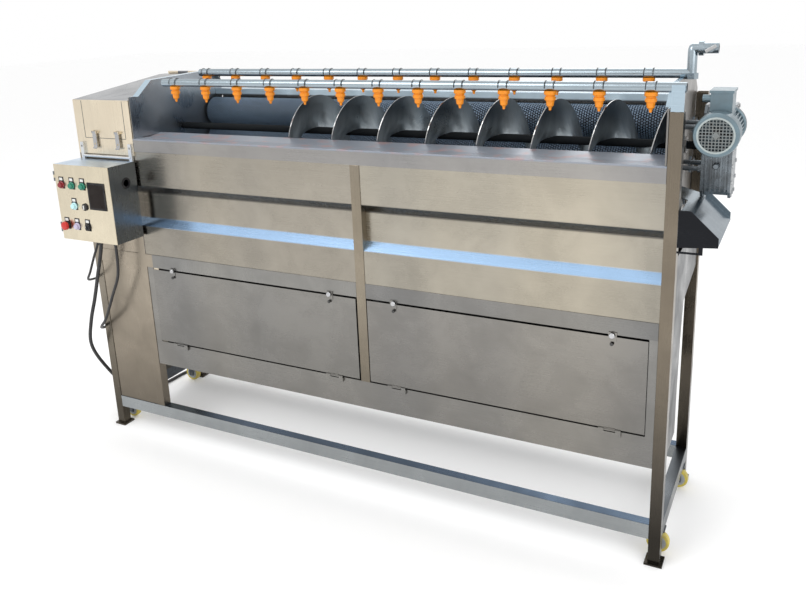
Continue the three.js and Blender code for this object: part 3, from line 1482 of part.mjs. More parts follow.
// Nozzle hanging from a spray pipe
function nozzle(x, y, z) {
  return turnedZ([[z, 0], [z - pipeRadius, nozzleShoulder], [z - nozzleShoulderDrop, nozzleShoulder],
    [z - nozzleTipDrop, nozzleTip], [z - nozzleTipDrop, 0]], x, y, nozzleSides);
}

function nozzleRow(firstX, y, z) {
  return Array.from({ length: nozzleCount }, (_, at) => nozzle(firstX + at * nozzlePitch, y, z));
}

// Bore of a spray pipe, from behind its left cap
function pipeBore(left, right, y, z) {
  return rodX(left + pipeWall, right, y, z, pipeRadius - pipeWall);
}

function makeFrontSprayPipe() {
  const pipeRight = pipeBracketLeft + pipeBracketWidth + pipeWall;
  const pipe = rodX(frontPipeLeft, pipeRight, frontPipeY, frontPipeZ, pipeRadius);
  const bracketLeft = pipeBracketLeft;
  const bracketRight = pipeBracketLeft + pipeBracketWidth;
  const plate = block(bracketLeft, bracketRight, 0, pipeBracketThickness, pipeBracketBottom, pipeBracketTop);
  const lug = rodZ(rightPostTop + seam, rightPostTop + pipeLugHeight, (bracketLeft + bracketRight) / 2,
      pipeLugRadius,
    pipeLugRadius);
  const body = join([pipe, plate, lug, ...nozzleRow(frontNozzleX, frontPipeY, frontPipeZ)]);
  const bore = pipeBore(frontPipeLeft, pipeRight + overrun, frontPipeY, frontPipeZ);
  part('front_spray_pipe', cut(body, [bore]), paleSteel);
}

// Rear pipe with its riser, elbow, union and valve body at the water inlet
function makeRearSprayPipe() {
  const pipe = rodX(rearPipeLeft, riserX, rearPipeY, rearPipeZ, pipeRadius);
  const riser = rodZ(rearPipeZ - pipeRadius - pipeWall, riserTop, riserX, rearPipeY, pipeRadius);
  const nut = rodZ(rearPipeZ - pipeRadius - pipeWall, rearPipeZ - pipeRadius - pipeWall + riserNutLength,
      riserX,
    rearPipeY, riserNutRadius, nozzleSides);
  const elbow = rodX(riserX - pipeRadius, unionLeft + sheet, rearPipeY, riserTop - pipeRadius, pipeRadius);
  const union = rodX(unionLeft, unionLeft + unionLength, rearPipeY, riserTop - pipeRadius, unionRadius,
      nozzleSides);
  const valve = rodX(unionLeft, valveRight, rearPipeY, riserTop - pipeRadius, valveRadius);
  const boss = rodY(rearPipeY - valveBossLength, rearPipeY, valveX, riserTop - pipeRadius, valveBossRadius);
  const inlet = rodX(riserX, valveRight + overrun, rearPipeY, riserTop - pipeRadius, valveBore);
  const riserBore = rodZ(rearPipeZ, riserTop - pipeRadius, riserX, rearPipeY, valveBore);
  const stemBore = rodY(rearPipeY - valveBossLength - overrun,
      rearPipeY - valveBossLength + valveStemSeat, valveX,
    riserTop - pipeRadius, holeRadius(valveStemRadius + seam));
  const body = join([pipe, riser, nut, elbow, union, valve, boss,
      ...nozzleRow(rearNozzleX, rearPipeY, rearPipeZ)]);
  part('rear_spray_pipe', cut(body, [inlet, riserBore, stemBore,
      pipeBore(rearPipeLeft, riserX, rearPipeY, rearPipeZ)]), paleSteel);
}

function makeValveHandle() {
  const z = riserTop - pipeRadius;
  const bossFront = rearPipeY - valveBossLength;
  const stem = rodY(bossFront - overrun, bossFront + valveStemSeat - seam, valveX, z, valveStemRadius);
  const wings = new THREE.BoxGeometry(valveWing * 2, valveWingThickness, valveWingHeight);
  wings.rotateY(-THREE.MathUtils.degToRad(valveWingTurn));
  wings.translate(valveX, bossFront - overrun - valveWingThickness / 2 + seam, z);
  part('valve_handle', join([stem, solid(wings)]), zinc);
}

const glandBottom = boxBottom - glandStripHeight;

// Gland strip under the box with the motor cable and the thinner sensor cable
function makeBoxCables() {
  const strip = block(glandStripLeft, glandStripRight, cablePlaneY - glandStripDepth / 2,
    cablePlaneY + glandStripDepth / 2, glandBottom, boxBottom - seam);
  const wallX = panelInset - seam;
  const motorCable = cord([[200, -60, 912], [200, -60, 880], [190, -60, 758], [141, -60, 658],
      [68, -50, 537],
    [10, -26, 488], [-24, 4, 464], [-34, 56, 450], [-16, 96, 446], [wallX, 96, 446]], cableRadius,
        boxCableSteps, leadSides);
  const sensorCable = cord([[100, -60, 912], [98, -60, 888], [62, -60, 820], [28, -60, 752], [-14, -40, 706],
    [-34, 20, 690], [-32, 76, 684], [-12, 88, 684], [wallX, 88, 684]], signalRadius, signalCableSteps,
        leadSides);
  part('box_cables', join([strip, motorCable, sensorCable]), black);
}

// Coil: the lead spirals in along the floor, climbs a layer in half a turn and spirals out again
class CoilCurve extends THREE.Curve {
  constructor() {
    super();
    this.turns = coilTurnsPerLayer * 2 + coilClimbTurns;
    this.arc = this.turns * 2 * Math.PI * coilOuterRadius;
    this.total = this.arc + coilTail * 2;
  }

  at(turn) {
    const inner = coilOuterRadius - coilTurnStep * coilTurnsPerLayer;
    const climbEnd = coilTurnsPerLayer + coilClimbTurns;
    let radius = inner;
    let layer = (turn - coilTurnsPerLayer) / coilClimbTurns;
    if (turn < coilTurnsPerLayer) {
      radius = coilOuterRadius - coilTurnStep * turn;
      layer = 0;
    } else if (turn > climbEnd) {
      radius = inner + coilTurnStep * (turn - climbEnd);
      layer = 1;
    }
    const angle = Math.PI - 2 * Math.PI * turn;
    return new THREE.Vector3(coilX + radius * Math.cos(angle), coilY + radius * Math.sin(angle),
      leadRadius + coilLayerStep * layer);
  }

  getPoint(share, target = new THREE.Vector3()) {
    const along = share * this.total - coilTail;
    if (along < 0) {
      return target.copy(this.at(0)).add(new THREE.Vector3(0, along, 0));
    }
    if (along > this.arc) {
      const end = this.at(this.turns);
      const before = this.at(this.turns - 1 / coilStepsPerTurn / coilHeadingSteps);
      before.z = end.z;
      const way = end.clone().sub(before).normalize();
      return target.copy(end).addScaledVector(way, along - this.arc);
    }
    return target.copy(this.at((along / this.arc) * this.turns));
  }
}

const coilCurve = new CoilCurve();

function coilSelfGap() {
  const samples = coilStepsPerTurn * coilGapSamples;
  const count = Math.round(coilCurve.turns * samples);
  const points = Array.from({ length: count + 1 }, (_, at) => coilCurve.at((coilCurve.turns * at) / count));
  let least = Infinity;
  for (let a = 0; a < points.length; a += 1) {
    for (let b = a + samples / 2; b < points.length; b += 1) {
      least = Math.min(least, points[a].distanceTo(points[b]));
    }
  }
  return least - leadRadius * 2;
}

function makeMainsCoil() {
  const steps = Math.round(coilCurve.turns * coilStepsPerTurn) + 2;
  part('mains_coil', sweep(coilCurve, leadRadius, steps, coilSides), black);
  console.log(`coil self gap ${coilSelfGap().toFixed(2)} mm`);
}

// Lead from the gland strip, round the left end of the machine, to the coil behind it
function makeMainsLead() {
  const end = coilCurve.getPoint(0);
  const lead = cord([[116, -60, glandBottom - seam], [116, -60, 880], [65, -60, 727], [30, -60, 628],
      [4, -72, 532],
    [-46, -48, 400], [-66, 40, 240], [-72, 150, 96], [-76, 230, 34], [-76, 310, 14], [-74, 420, 8.5],
    [-64, leadCornerStart, 8], [-16, leadCornerY, 8], [84, leadBehindY, 8],
    [end.x, end.y - coilLeadIn, leadRadius], [end.x, end.y - seam, leadRadius]],
  leadRadius, leadSteps, leadSides);
  part('mains_lead', lead, black);
}

// Industrial plug lying behind the coil: relief, body, mouth and pins
function makeMainsPlug() {
  const end = coilCurve.getPoint(1);
  const before = coilCurve.getPoint(1 - coilTail / coilCurve.total / 2);
  const heading = Math.atan2(end.y - before.y, end.x - before.x);
  const reliefEnd = reliefLength;
  const bodyEnd = reliefEnd + plugLength;
  const body = turnedX([[seam, 0], [seam, leadRadius], [reliefEnd, plugCollarRadius],
      [reliefEnd, plugRadius],
    [bodyEnd, plugRadius], [bodyEnd, plugMouthRadius], [bodyEnd - plugMouthDepth, plugMouthRadius],
    [bodyEnd - plugMouthDepth, 0]], 0, 0, roundSides);
  const pins = Array.from({ length: plugPins }, (_, at) => {
    const angle = (2 * Math.PI * (at + 0.5)) / plugPins;
    return rodX(bodyEnd - plugMouthDepth - sheet, bodyEnd - sheet * 2, plugPinCircle * Math.cos(angle),
      plugPinCircle * Math.sin(angle), plugPinRadius, nozzleSides);
  });
  const turn = THREE.MathUtils.radToDeg(heading);
  const placed = join([body, ...pins]).rotate([0, 0, turn]).translate([end.x, end.y, end.z]);
  part('mains_plug', placed, plastic(0xb8261e, 0.4));
}

makePosts();
makeLongBeams();
makeEndBeams();
makeWheels();
makeFrontTopRail();
makeLeftBayFrame();
makeMiddlePost();
makeMidRailRight();
makeUpperPanels();
makeDoorSurround();
makeAccessDoors();
makeRearPanel();
makeTank();
makeEndPlates();
makeRollers();
makeAuger();
makeChain();
makeDriveSprocket();
makeRollerGearmotor();
makeLeftCabinet();
makeDriveLid();
makeLatches();
makeControlBox();
makeControlBoxDoor();
makeControls();
makeAugerGearbox();
makeAugerMotor();
makeFanCowl();
makeMotorFan();
makeChute();
makeFrontSprayPipe();
makeRearSprayPipe();
makeValveHandle();
makeBoxCables();
makeMainsCoil();
makeMainsLead();
makeMainsPlug();

// The origin is the middle of the machine's footprint on the floor; the cables are left out of it
const cordNames = ['box_cables', 'mains_lead', 'mains_coil', 'mains_plug'];
const bounds = new THREE.Box3();
for (const mesh of machine.children) {
  if (!cordNames.includes(mesh.name)) {
    bounds.expandByObject(mesh);
  }
}
const middle = bounds.getCenter(new THREE.Vector3());
machine.position.set(-middle.x, -middle.y, -bounds.min.z);
machine.updateMatrixWorld(true);

export default machine;
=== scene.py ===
import math
from math import cos, pi, sin

import bmesh
import bpy
from mathutils import Matrix, Vector


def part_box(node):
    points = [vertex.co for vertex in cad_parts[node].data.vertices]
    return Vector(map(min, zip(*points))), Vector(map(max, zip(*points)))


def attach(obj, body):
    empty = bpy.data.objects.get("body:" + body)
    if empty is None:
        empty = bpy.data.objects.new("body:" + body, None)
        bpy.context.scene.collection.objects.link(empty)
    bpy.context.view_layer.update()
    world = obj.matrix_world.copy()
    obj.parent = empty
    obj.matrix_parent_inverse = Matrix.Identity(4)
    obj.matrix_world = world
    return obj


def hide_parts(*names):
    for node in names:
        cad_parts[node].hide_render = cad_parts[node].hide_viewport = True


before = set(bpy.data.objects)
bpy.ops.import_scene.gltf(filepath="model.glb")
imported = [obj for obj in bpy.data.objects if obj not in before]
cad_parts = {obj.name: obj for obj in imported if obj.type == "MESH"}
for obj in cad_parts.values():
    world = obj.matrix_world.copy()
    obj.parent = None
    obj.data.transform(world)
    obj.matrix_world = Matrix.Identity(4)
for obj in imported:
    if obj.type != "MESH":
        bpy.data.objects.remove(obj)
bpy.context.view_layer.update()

# Square tube frame: four posts, two long bottom beams and two end beams with the caster forks.
# Stainless tube, saw-cut, mitred or butted, and TIG welded; the welds are ground flush and
# the outside is brushed along each tube.
middle_x, middle_y = 1264.75, 202.75


def at(x, y, z):
    """A point in machine millimetres, from the front left corner on the floor, in metres."""
    return Vector(((x - middle_x) / 1000, (y - middle_y) / 1000, z / 1000))


def put(tree, kind, values=None, **settings):
    """Adds a node, sets its properties, and links or sets its inputs by name or number."""
    node = tree.nodes.new(kind)
    for key, value in settings.items():
        setattr(node, key, value)
    for key, value in (values or {}).items():
        if isinstance(value, bpy.types.NodeSocket):
            tree.links.new(value, node.inputs[key])
        else:
            node.inputs[key].default_value = value
    return node


def fed(kind, values, **settings):
    """Adds a node to the tree of the sockets that feed it."""
    sockets = [value for value in values.values() if isinstance(value, bpy.types.NodeSocket)]
    return put(sockets[0].id_data, kind, values, **settings)


def noise(place, scale, detail, **more):
    """The value of a noise texture."""
    values = {"Vector": place, "Scale": scale, "Detail": detail, **more}
    return fed("ShaderNodeTexNoise", values).outputs["Fac"]


def ranged(value, low=0.0, high=1.0, to_low=0.0, to_high=1.0):
    """A value carried from one range to another and kept inside it."""
    return fed("ShaderNodeMapRange", {
        "Value": value, "From Min": low, "From Max": high, "To Min": to_low,
        "To Max": to_high}).outputs["Result"]


def blend(factor, first, second):
    """One colour going over into another."""
    return fed("ShaderNodeMix", {0: factor, 6: first, 7: second}, data_type="RGBA").outputs[2]


def maths(operation, first, second=None, clamp=False):
    """The result of one operation on values."""
    values = {0: first} if second is None else {0: first, 1: second}
    return fed("ShaderNodeMath", values, operation=operation, use_clamp=clamp).outputs[0]


def vectors(operation, first, second):
    """The result of one operation on vectors; a scale takes a single value."""
    values = {0: first, "Scale" if operation == "SCALE" else 1: second}
    return fed("ShaderNodeVectorMath", values, operation=operation).outputs["Vector"]


def stretched(place, scale):
    """Coordinates multiplied along each axis."""
    return fed("ShaderNodeMapping", {"Vector": place, "Scale": scale}).outputs[0]


def split(vector):
    """The X, Y and Z of a vector."""
    return fed("ShaderNodeSeparateXYZ", {0: vector}).outputs


def vector_of(**parts):
    """A vector from its X, Y and Z."""
    return fed("ShaderNodeCombineXYZ", parts).outputs[0]


def wire(node, links):
    """Links sockets into a node's named inputs."""
    for key, socket in links.items():
        node.id_data.links.new(socket, node.inputs[key])


def node_group(name, kind, inputs, outputs):
    """A node group with named sockets: what it is given, and its end node."""
    tree = bpy.data.node_groups.new(name, kind)
    for way, sockets in (("INPUT", inputs), ("OUTPUT", outputs)):
        for label, form in sockets.items():
            tree.interface.new_socket(label, in_out=way, socket_type="NodeSocket" + form)
    return tree.nodes.new("NodeGroupInput").outputs, tree.nodes.new("NodeGroupOutput")


surface = {"Colour": "Color", "Roughness": "Float", "Height": "Float"}


def brushed_group():
    """Drawn lines of a polishing belt and hand smudges, with painted reflections in broad bands
    along X and painted shade that darkens it towards the floor.
    """
    given, result = node_group("brushed steel", "ShaderNodeTree", {
        "Place": "Vector", "Grain": "Vector", "Colour": "Color", "Tint": "Color", "Polish": "Float",
        "Wear": "Float", "Bands": "Float", "Soil": "Float"}, surface)
    line = noise(given["Grain"], 1.0, 3.0, Roughness=0.6)
    smudge = noise(given["Place"], 7.0, 4.0, Roughness=0.55, Distortion=0.4)
    tinted = blend(noise(given["Place"], 1.3, 1.0), given["Colour"], given["Tint"])
    shade = ranged(line, 0.3, 0.7, 1.19, 1.3)
    film = ranged(smudge, 0.35, 0.7, 1.04, 0.9)
    spot = split(given["Place"])
    # Painted shade: the colour darkens towards the floor by the share given for it, standing in for
    # shade and a dark floor's reflection on the lower parts.
    painted_foot_shade = ranged(spot["Z"], 0.1, 0.78, given["Soil"])
    # Painted reflection: broad lighter and darker bands along X, as a brushed sheet shows its
    # surroundings; each steel sets how much of it it takes.
    sweep = noise(vector_of(X=spot["X"]), 2.0, 1.0)
    reflection_bands = blend(ranged(sweep, 0.35, 0.65), (0.66, 0.65, 0.65, 1), (0.87, 0.83, 0.78, 1))
    banded = blend(given["Bands"], (0.8, 0.8, 0.8, 1), reflection_bands)
    level = maths("MULTIPLY", maths("MULTIPLY", shade, film), painted_foot_shade)
    dull = ranged(smudge, 0.35, 0.75, -0.05, given["Wear"])
    fine = ranged(line, 0.3, 0.7, -0.05, 0.05)
    rough = maths("ADD", maths("ADD", given["Polish"], dull), fine, True)
    toned = vectors("MULTIPLY", tinted, banded)
    wire(result, {"Colour": vectors("SCALE", toned, level), "Roughness": rough, "Height": line})
    return result.id_data


def blank_material(name):
    """A material with its shader and the object's own coordinates."""
    material = bpy.data.materials.new(name)
    material.use_nodes = True
    tree = material.node_tree
    place = tree.nodes.new("ShaderNodeTexCoord").outputs["Object"]
    return material, tree.nodes["Principled BSDF"], place


def surfaced(shader, group, relief, depth, values):
    """Places a group in a material and wires its colour, roughness and bump to the shader."""
    finish = fed("ShaderNodeGroup", values, node_tree=group)
    bump = fed("ShaderNodeBump", {
        "Strength": relief, "Distance": depth, "Height": finish.outputs["Height"]})
    wire(shader, {"Base Color": finish.outputs["Colour"],
                  "Roughness": finish.outputs["Roughness"], "Normal": bump.outputs[0]})


brushed = brushed_group()


def steel(name, colour, tint, polish, grain="x", wear=0.1, reflection_bands=0.0, foot_shade=0.3):
    """Brushed stainless steel, its lines along one axis."""
    material, shader, place = blank_material(name)
    lines = {"x": (5, 620, 620), "y": (620, 5, 620), "z": (620, 620, 5)}[grain]
    shader.inputs["Metallic"].default_value = 1.0
    surfaced(shader, brushed, 0.06, 0.0003, {
        "Place": place, "Grain": stretched(place, lines), "Colour": (*colour, 1),
        "Tint": (*tint, 1), "Polish": polish, "Wear": wear, "Bands": reflection_bands, "Soil": foot_shade})
    return material


def show_plain(piece):
    """Links a new object into the scene."""
    bpy.context.scene.collection.objects.link(piece)
    return piece


def joined(piece, body, slot, *nodes):
    """The piece rides on a body and stands for the CAD nodes named; slot is not used."""
    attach(piece, body)
    if nodes:
        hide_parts(*nodes)
    return piece


def smoothed(mesh, angle):
    """Shades a mesh smooth, apart from edges sharper than an angle in degrees."""
    mesh.shade_smooth()
    mesh.set_sharp_from_angle(angle=math.radians(angle))


def mesh_from(name, work):
    """Turns a bmesh into a mesh whose faces look outwards."""
    mesh = bpy.data.meshes.new(name)
    bmesh.ops.recalc_face_normals(work, faces=work.faces)
    work.to_mesh(mesh)
    work.free()
    return mesh


def piece_from(name, work, materials, slot, *nodes, body="frame", smooth=35):
    """Turns a bmesh into a finished piece."""
    mesh = mesh_from(name, work)
    for material in materials:
        mesh.materials.append(material)
    if smooth:
        smoothed(mesh, smooth)
    return joined(show_plain(bpy.data.objects.new(name, mesh)), body, slot, *nodes)


def eased(node, material, width=0.002, slot="brushed_stainless", body="frame"):
    """A CAD node with its sharp edges broken, as folded sheet and drawn tube have them."""
    work = bmesh.new()
    work.from_mesh(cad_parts[node].data)
    bmesh.ops.remove_doubles(work, verts=work.verts, dist=0.00002)
    bmesh.ops.dissolve_limit(work, angle_limit=math.radians(1), verts=work.verts, edges=work.edges)
    sharp = [edge for edge in work.edges
             if edge.is_manifold and edge.calc_face_angle(0) > math.radians(40)]
    bmesh.ops.bevel(work, geom=sharp, offset=width, segments=2, profile=0.5, affect="EDGES",
                    clamp_overlap=True)
    return piece_from(node + "_eased", work, [material], slot, node, body=body, smooth=None)


def pick(piece, material, chosen):
    """Gives a further material to the faces that a test of centre and normal chooses."""
    piece.data.materials.append(material)
    for face in piece.data.polygons:
        if chosen(face.center, face.normal):
            face.material_index = len(piece.data.materials) - 1


post_steel = steel("post steel", (0.29, 0.245, 0.18), (0.24, 0.22, 0.19), 0.27, "z")
# Painted shade: the right posts are the same steel as the left ones, painted darker, and darker
# still towards the floor.
right_post_shade_steel = steel("right post steel", (0.22, 0.18, 0.13), (0.17, 0.155, 0.135), 0.27, "z",
                         foot_shade=0.2)
beam_steel = steel("beam steel", (0.33, 0.35, 0.36), (0.3, 0.315, 0.32), 0.3, foot_shade=1.0)
# Painted shade: the upward faces of the long bottom beams are painted dark blue.
beam_top_shade_steel = steel("beam top steel", (0.05, 0.075, 0.115), (0.07, 0.1, 0.14), 0.3, foot_shade=1.0)
end_beam_steel = steel("end beam steel", (0.13, 0.145, 0.16), (0.11, 0.12, 0.13), 0.3, "y",
                       foot_shade=0.8)
for side, material in (("left", post_steel), ("right", right_post_shade_steel)):
    for row in ("front", "rear"):
        eased(f"{row}_{side}_post", material)
for row in ("front", "rear"):
    pick(eased(row + "_bottom_beam", beam_steel), beam_top_shade_steel, lambda spot, way: way.z > 0.9)
for end in ("left", "right"):
    eased(end + "_bottom_beam", end_beam_steel, 0.001)

# Four rigid casters under the end beams, each wheel a yellow polyurethane tyre cast on a grey
# hub that turns on a bolt through the fork. They carry the machine when it is moved; the feet
# of the posts reach the floor beside them.


def ring_of(work, spots, fit=at):
    """New vertices at points in millimetres."""
    return [work.verts.new(fit(*spot)) for spot in spots]


def circle(sides):
    """The angles of a circle's equal parts."""
    return [2 * pi * side / sides for side in range(sides)]


def skin(work, rings, finish=0):
    """Faces between neighbouring rings of vertices; a ring of one vertex is a tip."""
    for low, high in zip(rings, rings[1:]):
        sides = max(len(low), len(high))
        for side in range(sides):
            after = (side + 1) % sides
            corners = (low[side % len(low)], low[after % len(low)], high[after % len(high)],
                       high[side % len(high)])
            corners = list(dict.fromkeys(corners))
            if len(corners) > 2:
                work.faces.new(corners).material_index = finish


def turned(work, profile, start, along, first, sides, finish=0, fit=at):
    """Turns a profile of (along, radius) about a line through start, in millimetres."""
    second = along.cross(first)
    rings = []
    for reach, radius in profile:
        rings.append(ring_of(work, [
            start + along * reach + (first * cos(angle) + second * sin(angle)) * radius
            for angle in circle(sides)[:sides if radius else 1]], fit))
    skin(work, rings + rings[:1] if profile[0][1] > 0 else rings, finish)


def lathe(work, profile, centre, axis, sides=48, finish=0, fit=at):
    """Turns a profile of (along, radius) about an axis through centre, in millimetres."""
    units = Matrix.Identity(3)
    number = "xyz".index(axis)
    first = units[(number + 1) % 3]
    turned(work, profile, Vector(centre), units[number], first, sides, finish, fit)


def plastic_group():
    """Moulded plastic or paint: a fine skin, with dust and scuffs that dull it."""
    given, result = node_group("moulded skin", "ShaderNodeTree", {
        "Place": "Vector", "Colour": "Color", "Dust": "Color", "Amount": "Float", "Gloss": "Float",
        "Skin": "Float"}, surface)
    cloud = noise(given["Place"], 34.0, 5.0, Roughness=0.6)
    mask = ranged(cloud, 0.4, 0.75, 0.0, given["Amount"])
    dull = ranged(cloud, 0.3, 0.8, -0.04, 0.14)
    wire(result, {"Colour": blend(mask, given["Colour"], given["Dust"]),
                  "Roughness": maths("ADD", given["Gloss"], dull, True),
                  "Height": noise(given["Place"], given["Skin"], 2.0)})
    return result.id_data


moulded = plastic_group()


def plastic(name, colour, gloss, dust=(0.3, 0.28, 0.25), amount=0.12, skin=900.0, relief=0.1,
            metal=0.0, specular=0.5):
    """Moulded plastic, rubber or paint with a fine skin and a little dust."""
    material, shader, place = blank_material(name)
    shader.inputs["Metallic"].default_value = metal
    shader.inputs["Specular IOR Level"].default_value = specular
    surfaced(shader, moulded, relief, 0.0004, {
        "Place": place, "Colour": (*colour, 1), "Dust": (*dust, 1), "Amount": amount,
        "Gloss": gloss, "Skin": skin})
    return material


tyre_yellow = plastic("cast polyurethane", (0.62, 0.5, 0.07), 0.38, (0.2, 0.17, 0.12), 0.55, 420.0)
hub_grey = plastic("hub nylon", (0.33, 0.35, 0.36), 0.45, (0.12, 0.11, 0.1), 0.4)
zinc = steel("zinc plate", (0.52, 0.54, 0.57), (0.46, 0.44, 0.4), 0.3, "y", 0.2)
axle_height = 40.5
for end, x in (("left", 19), ("right", 2381)):
    for row, y in (("front", 80), ("rear", 490)):
        axle = (x, y, axle_height)
        work = bmesh.new()
        lathe(work, [(-12, 27), (-12.6, 33), (-10.5, 36.4), (-4, 37.4), (4, 37.4), (10.5, 36.4),
                     (12.6, 33), (12, 27)], axle, "y", 56)
        lathe(work, [(-12, 10), (-13, 12), (-13, 25), (-11.8, 27.2), (11.8, 27.2), (13, 25),
                     (13, 12), (12, 10)], axle, "y", 40, 1)
        lathe(work, [(-18, 0), (-18, 4.8), (-13.2, 4.8), (-13.2, 10.4), (13.2, 10.4), (13.2, 4.8),
                     (18, 4.8), (18, 0)], axle, "y", 24, 2)
        body = f"caster_wheel_{row}_{end}"
        piece_from(f"wheel_{row}_{end}", work, [tyre_yellow, hub_grey, zinc], "wheel_polyurethane",
                   body, body=body, smooth=40)

# Front top rail and its folded cover, the mid rail, the middle post and the left bay frame:
# stainless tube and 2 mm sheet between the posts. The cover was heated by its seam welds, so it
# keeps a faint straw and rose tint along the seam.


def inside(material):
    """A material's group node, the object's coordinates and the shader."""
    kinds = {node.type: node for node in material.node_tree.nodes}
    return kinds["GROUP"], kinds["TEX_COORD"].outputs["Object"], kinds["BSDF_PRINCIPLED"]


def recoloured(material, axis, start, end, colour):
    """Past a line along one axis a brushed steel takes another colour; returns that mask."""
    finish, place = inside(material)[:2]
    past = ranged(split(place)[axis], start, end)
    for socket in ("Colour", "Tint"):
        own = tuple(finish.inputs[socket].default_value)
        wire(finish, {socket: blend(past, own, (*colour, 1))})
    return past


def rail_material():
    """Brushed steel with the straw and rose colours that a weld leaves along the seam."""
    material = steel("rail steel", (0.38, 0.385, 0.395), (0.335, 0.33, 0.32), 0.2, "x", 0.12, 1.0)
    finish, place, shader = inside(material)
    patch = ranged(noise(place, 16.0, 3.0), 0.52, 0.66, 0.0, 0.6)
    on_top = ranged(split(place)["Z"], 1.316, 1.319)
    heat = maths("MULTIPLY", patch, on_top)
    film = maths("MULTIPLY", on_top, 0.6)
    filmed = blend(film, finish.outputs["Colour"], (0.2, 0.25, 0.33, 1))
    rough = maths("ADD", finish.outputs["Roughness"], maths("MULTIPLY", on_top, 0.16))
    wire(shader, {"Base Color": blend(heat, filmed, (0.42, 0.24, 0.22, 1)),
                  "Metallic": maths("SUBTRACT", 1.0, film), "Roughness": rough})
    return material


rail_steel = rail_material()
eased("front_top_rail", rail_steel, 0.0015)
mid_steel = steel("mid rail steel", (0.22, 0.225, 0.225), (0.23, 0.23, 0.225), 0.3, reflection_bands=1.0)
eased("mid_rail_right", mid_steel)
eased("middle_post", post_steel)
bay_steel = steel("bay steel", (0.37, 0.315, 0.245), (0.34, 0.3, 0.245), 0.3, "z", 0.14, foot_shade=0.4)
past_bay = recoloured(bay_steel, "X", -0.934, -0.93, (0.265, 0.268, 0.262))
wire(inside(bay_steel)[0], {"Bands": past_bay})
bay = eased("left_bay_frame", bay_steel, 0.001)
pick(bay, rail_steel, lambda spot, way: way.x > 0.9 and spot.z > 0.8)

# Upper panels: 2 mm sheet with a pressed groove right along them that stiffens the long span.
# The groove's lower slope is painted pale blue as a sky reflection, and its upper slope, which
# faces down, is painted dark as shade; the groove's bottom and the sheet below it are a little
# darker than the sheet above, and the right panel is painted lighter than the left, a lit copy
# of the same sheet.


def coat(node, material):
    """Gives its material to a CAD node that is shown as it is."""
    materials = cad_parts[node].data.materials
    materials.clear()
    materials.append(material)


def panel_material(name, flat, ledge_reflection):
    """Brushed sheet; on its groove the upper slope is painted dark as shade, the lower one pale
    blue as a sky reflection.
    """
    material = steel(name, flat, flat, 0.24)
    finish, place = inside(material)[:2]
    share = ranged(split(place)["Z"], 0.78, 1.28)
    ramp = fed("ShaderNodeValToRGB", {0: share})
    low, floor = ([part * tone for part in flat] for tone in (0.82, 0.93))
    # Painted shade on the groove's upper slope, which faces down.
    dark = (0.135, 0.13, 0.118)
    first, last = ramp.color_ramp.elements
    first.position, first.color = 0.0, (*low, 1)
    last.position, last.color = 1.0, (*flat, 1)
    for spot, colour, banded in ((0.364, low, 1), (0.372, ledge_reflection, 0), (0.424, ledge_reflection, 0),
                                 (0.432, floor, 1), (0.632, floor, 1), (0.64, dark, 1),
                                 (0.7, dark, 1), (0.708, flat, 1)):
        ramp.color_ramp.elements.new(spot).color = (*colour, banded)
    wire(finish, {"Colour": ramp.outputs["Color"], "Tint": ramp.outputs["Color"],
                  "Bands": ramp.outputs["Alpha"]})
    return material


# The right panel is painted lighter than the left, a lit copy of one steel; the ledge colour of
# each is a painted sky reflection.
for node, flat, ledge_reflection in (("upper_panel_left", (0.385, 0.365, 0.32), (0.385, 0.56, 0.8)),
                          ("upper_panel_right", (0.44, 0.418, 0.36), (0.4, 0.585, 0.83))):
    coat(node, panel_material(node + " steel", flat, ledge_reflection))

# Door surround and two drop-down access doors: flat 2 mm sheet on two barrel hinges each, held
# up by a tab with a thumb screw at each end of the top edge.
surround_steel = steel("surround steel", (0.28, 0.28, 0.27), (0.27, 0.27, 0.262), 0.3, "x",
                       0.14, 1.0, 0.7)
eased("door_surround", surround_steel, 0.0008)
bright_steel = steel("bright steel", (0.5, 0.515, 0.54), (0.44, 0.43, 0.42), 0.17, "x", 0.12)
clip_steel = steel("clip steel", (0.1, 0.1, 0.1), (0.06, 0.06, 0.06), 0.3, "z")
screw_inset, screw_height, clip_height = 110, 785, 757
# The right door is painted a little lighter than the left, a lit copy of one steel.
for node, colour in (("access_door_left", (0.25, 0.25, 0.24)),
                     ("access_door_right", (0.27, 0.265, 0.25))):
    door_steel = steel(node + " steel", colour, (0.24, 0.24, 0.235), 0.27, "x", 0.12, 1.0, 0.7)
    eased(node, door_steel, 0.0005, body=node)
    low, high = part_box(node)
    work = bmesh.new()
    for x in (low[0] * 1000 + middle_x + screw_inset, high[0] * 1000 + middle_x - screw_inset):
        lathe(work, [(-12, 0), (-12, 7.6), (-10.4, 9.2), (-7.2, 9.2), (-7.2, 5), (-3, 5), (-3, 0)],
              (x, 0, screw_height), "y", 32)
        lathe(work, [(-10.8, 0), (-10.8, 5), (-7.6, 6), (-7.6, 0)], (x, 0, clip_height), "y", 24, 1)
    piece_from(node + "_thumb_screws", work, [bright_steel, clip_steel], "bright_stainless",
               body=node)

# Rear sheet, with its top and middle rails, and the tank: a basin with sloping floors and a
# drain stub under its sump, folded from 2 mm sheet and welded water-tight.
coat("tank", steel("tank steel", (0.12, 0.125, 0.13), (0.15, 0.15, 0.15), 0.32, "x", 0.2))
rear_steel = steel("rear steel", (0.33, 0.33, 0.325), (0.28, 0.275, 0.26), 0.28, "x", 0.12)
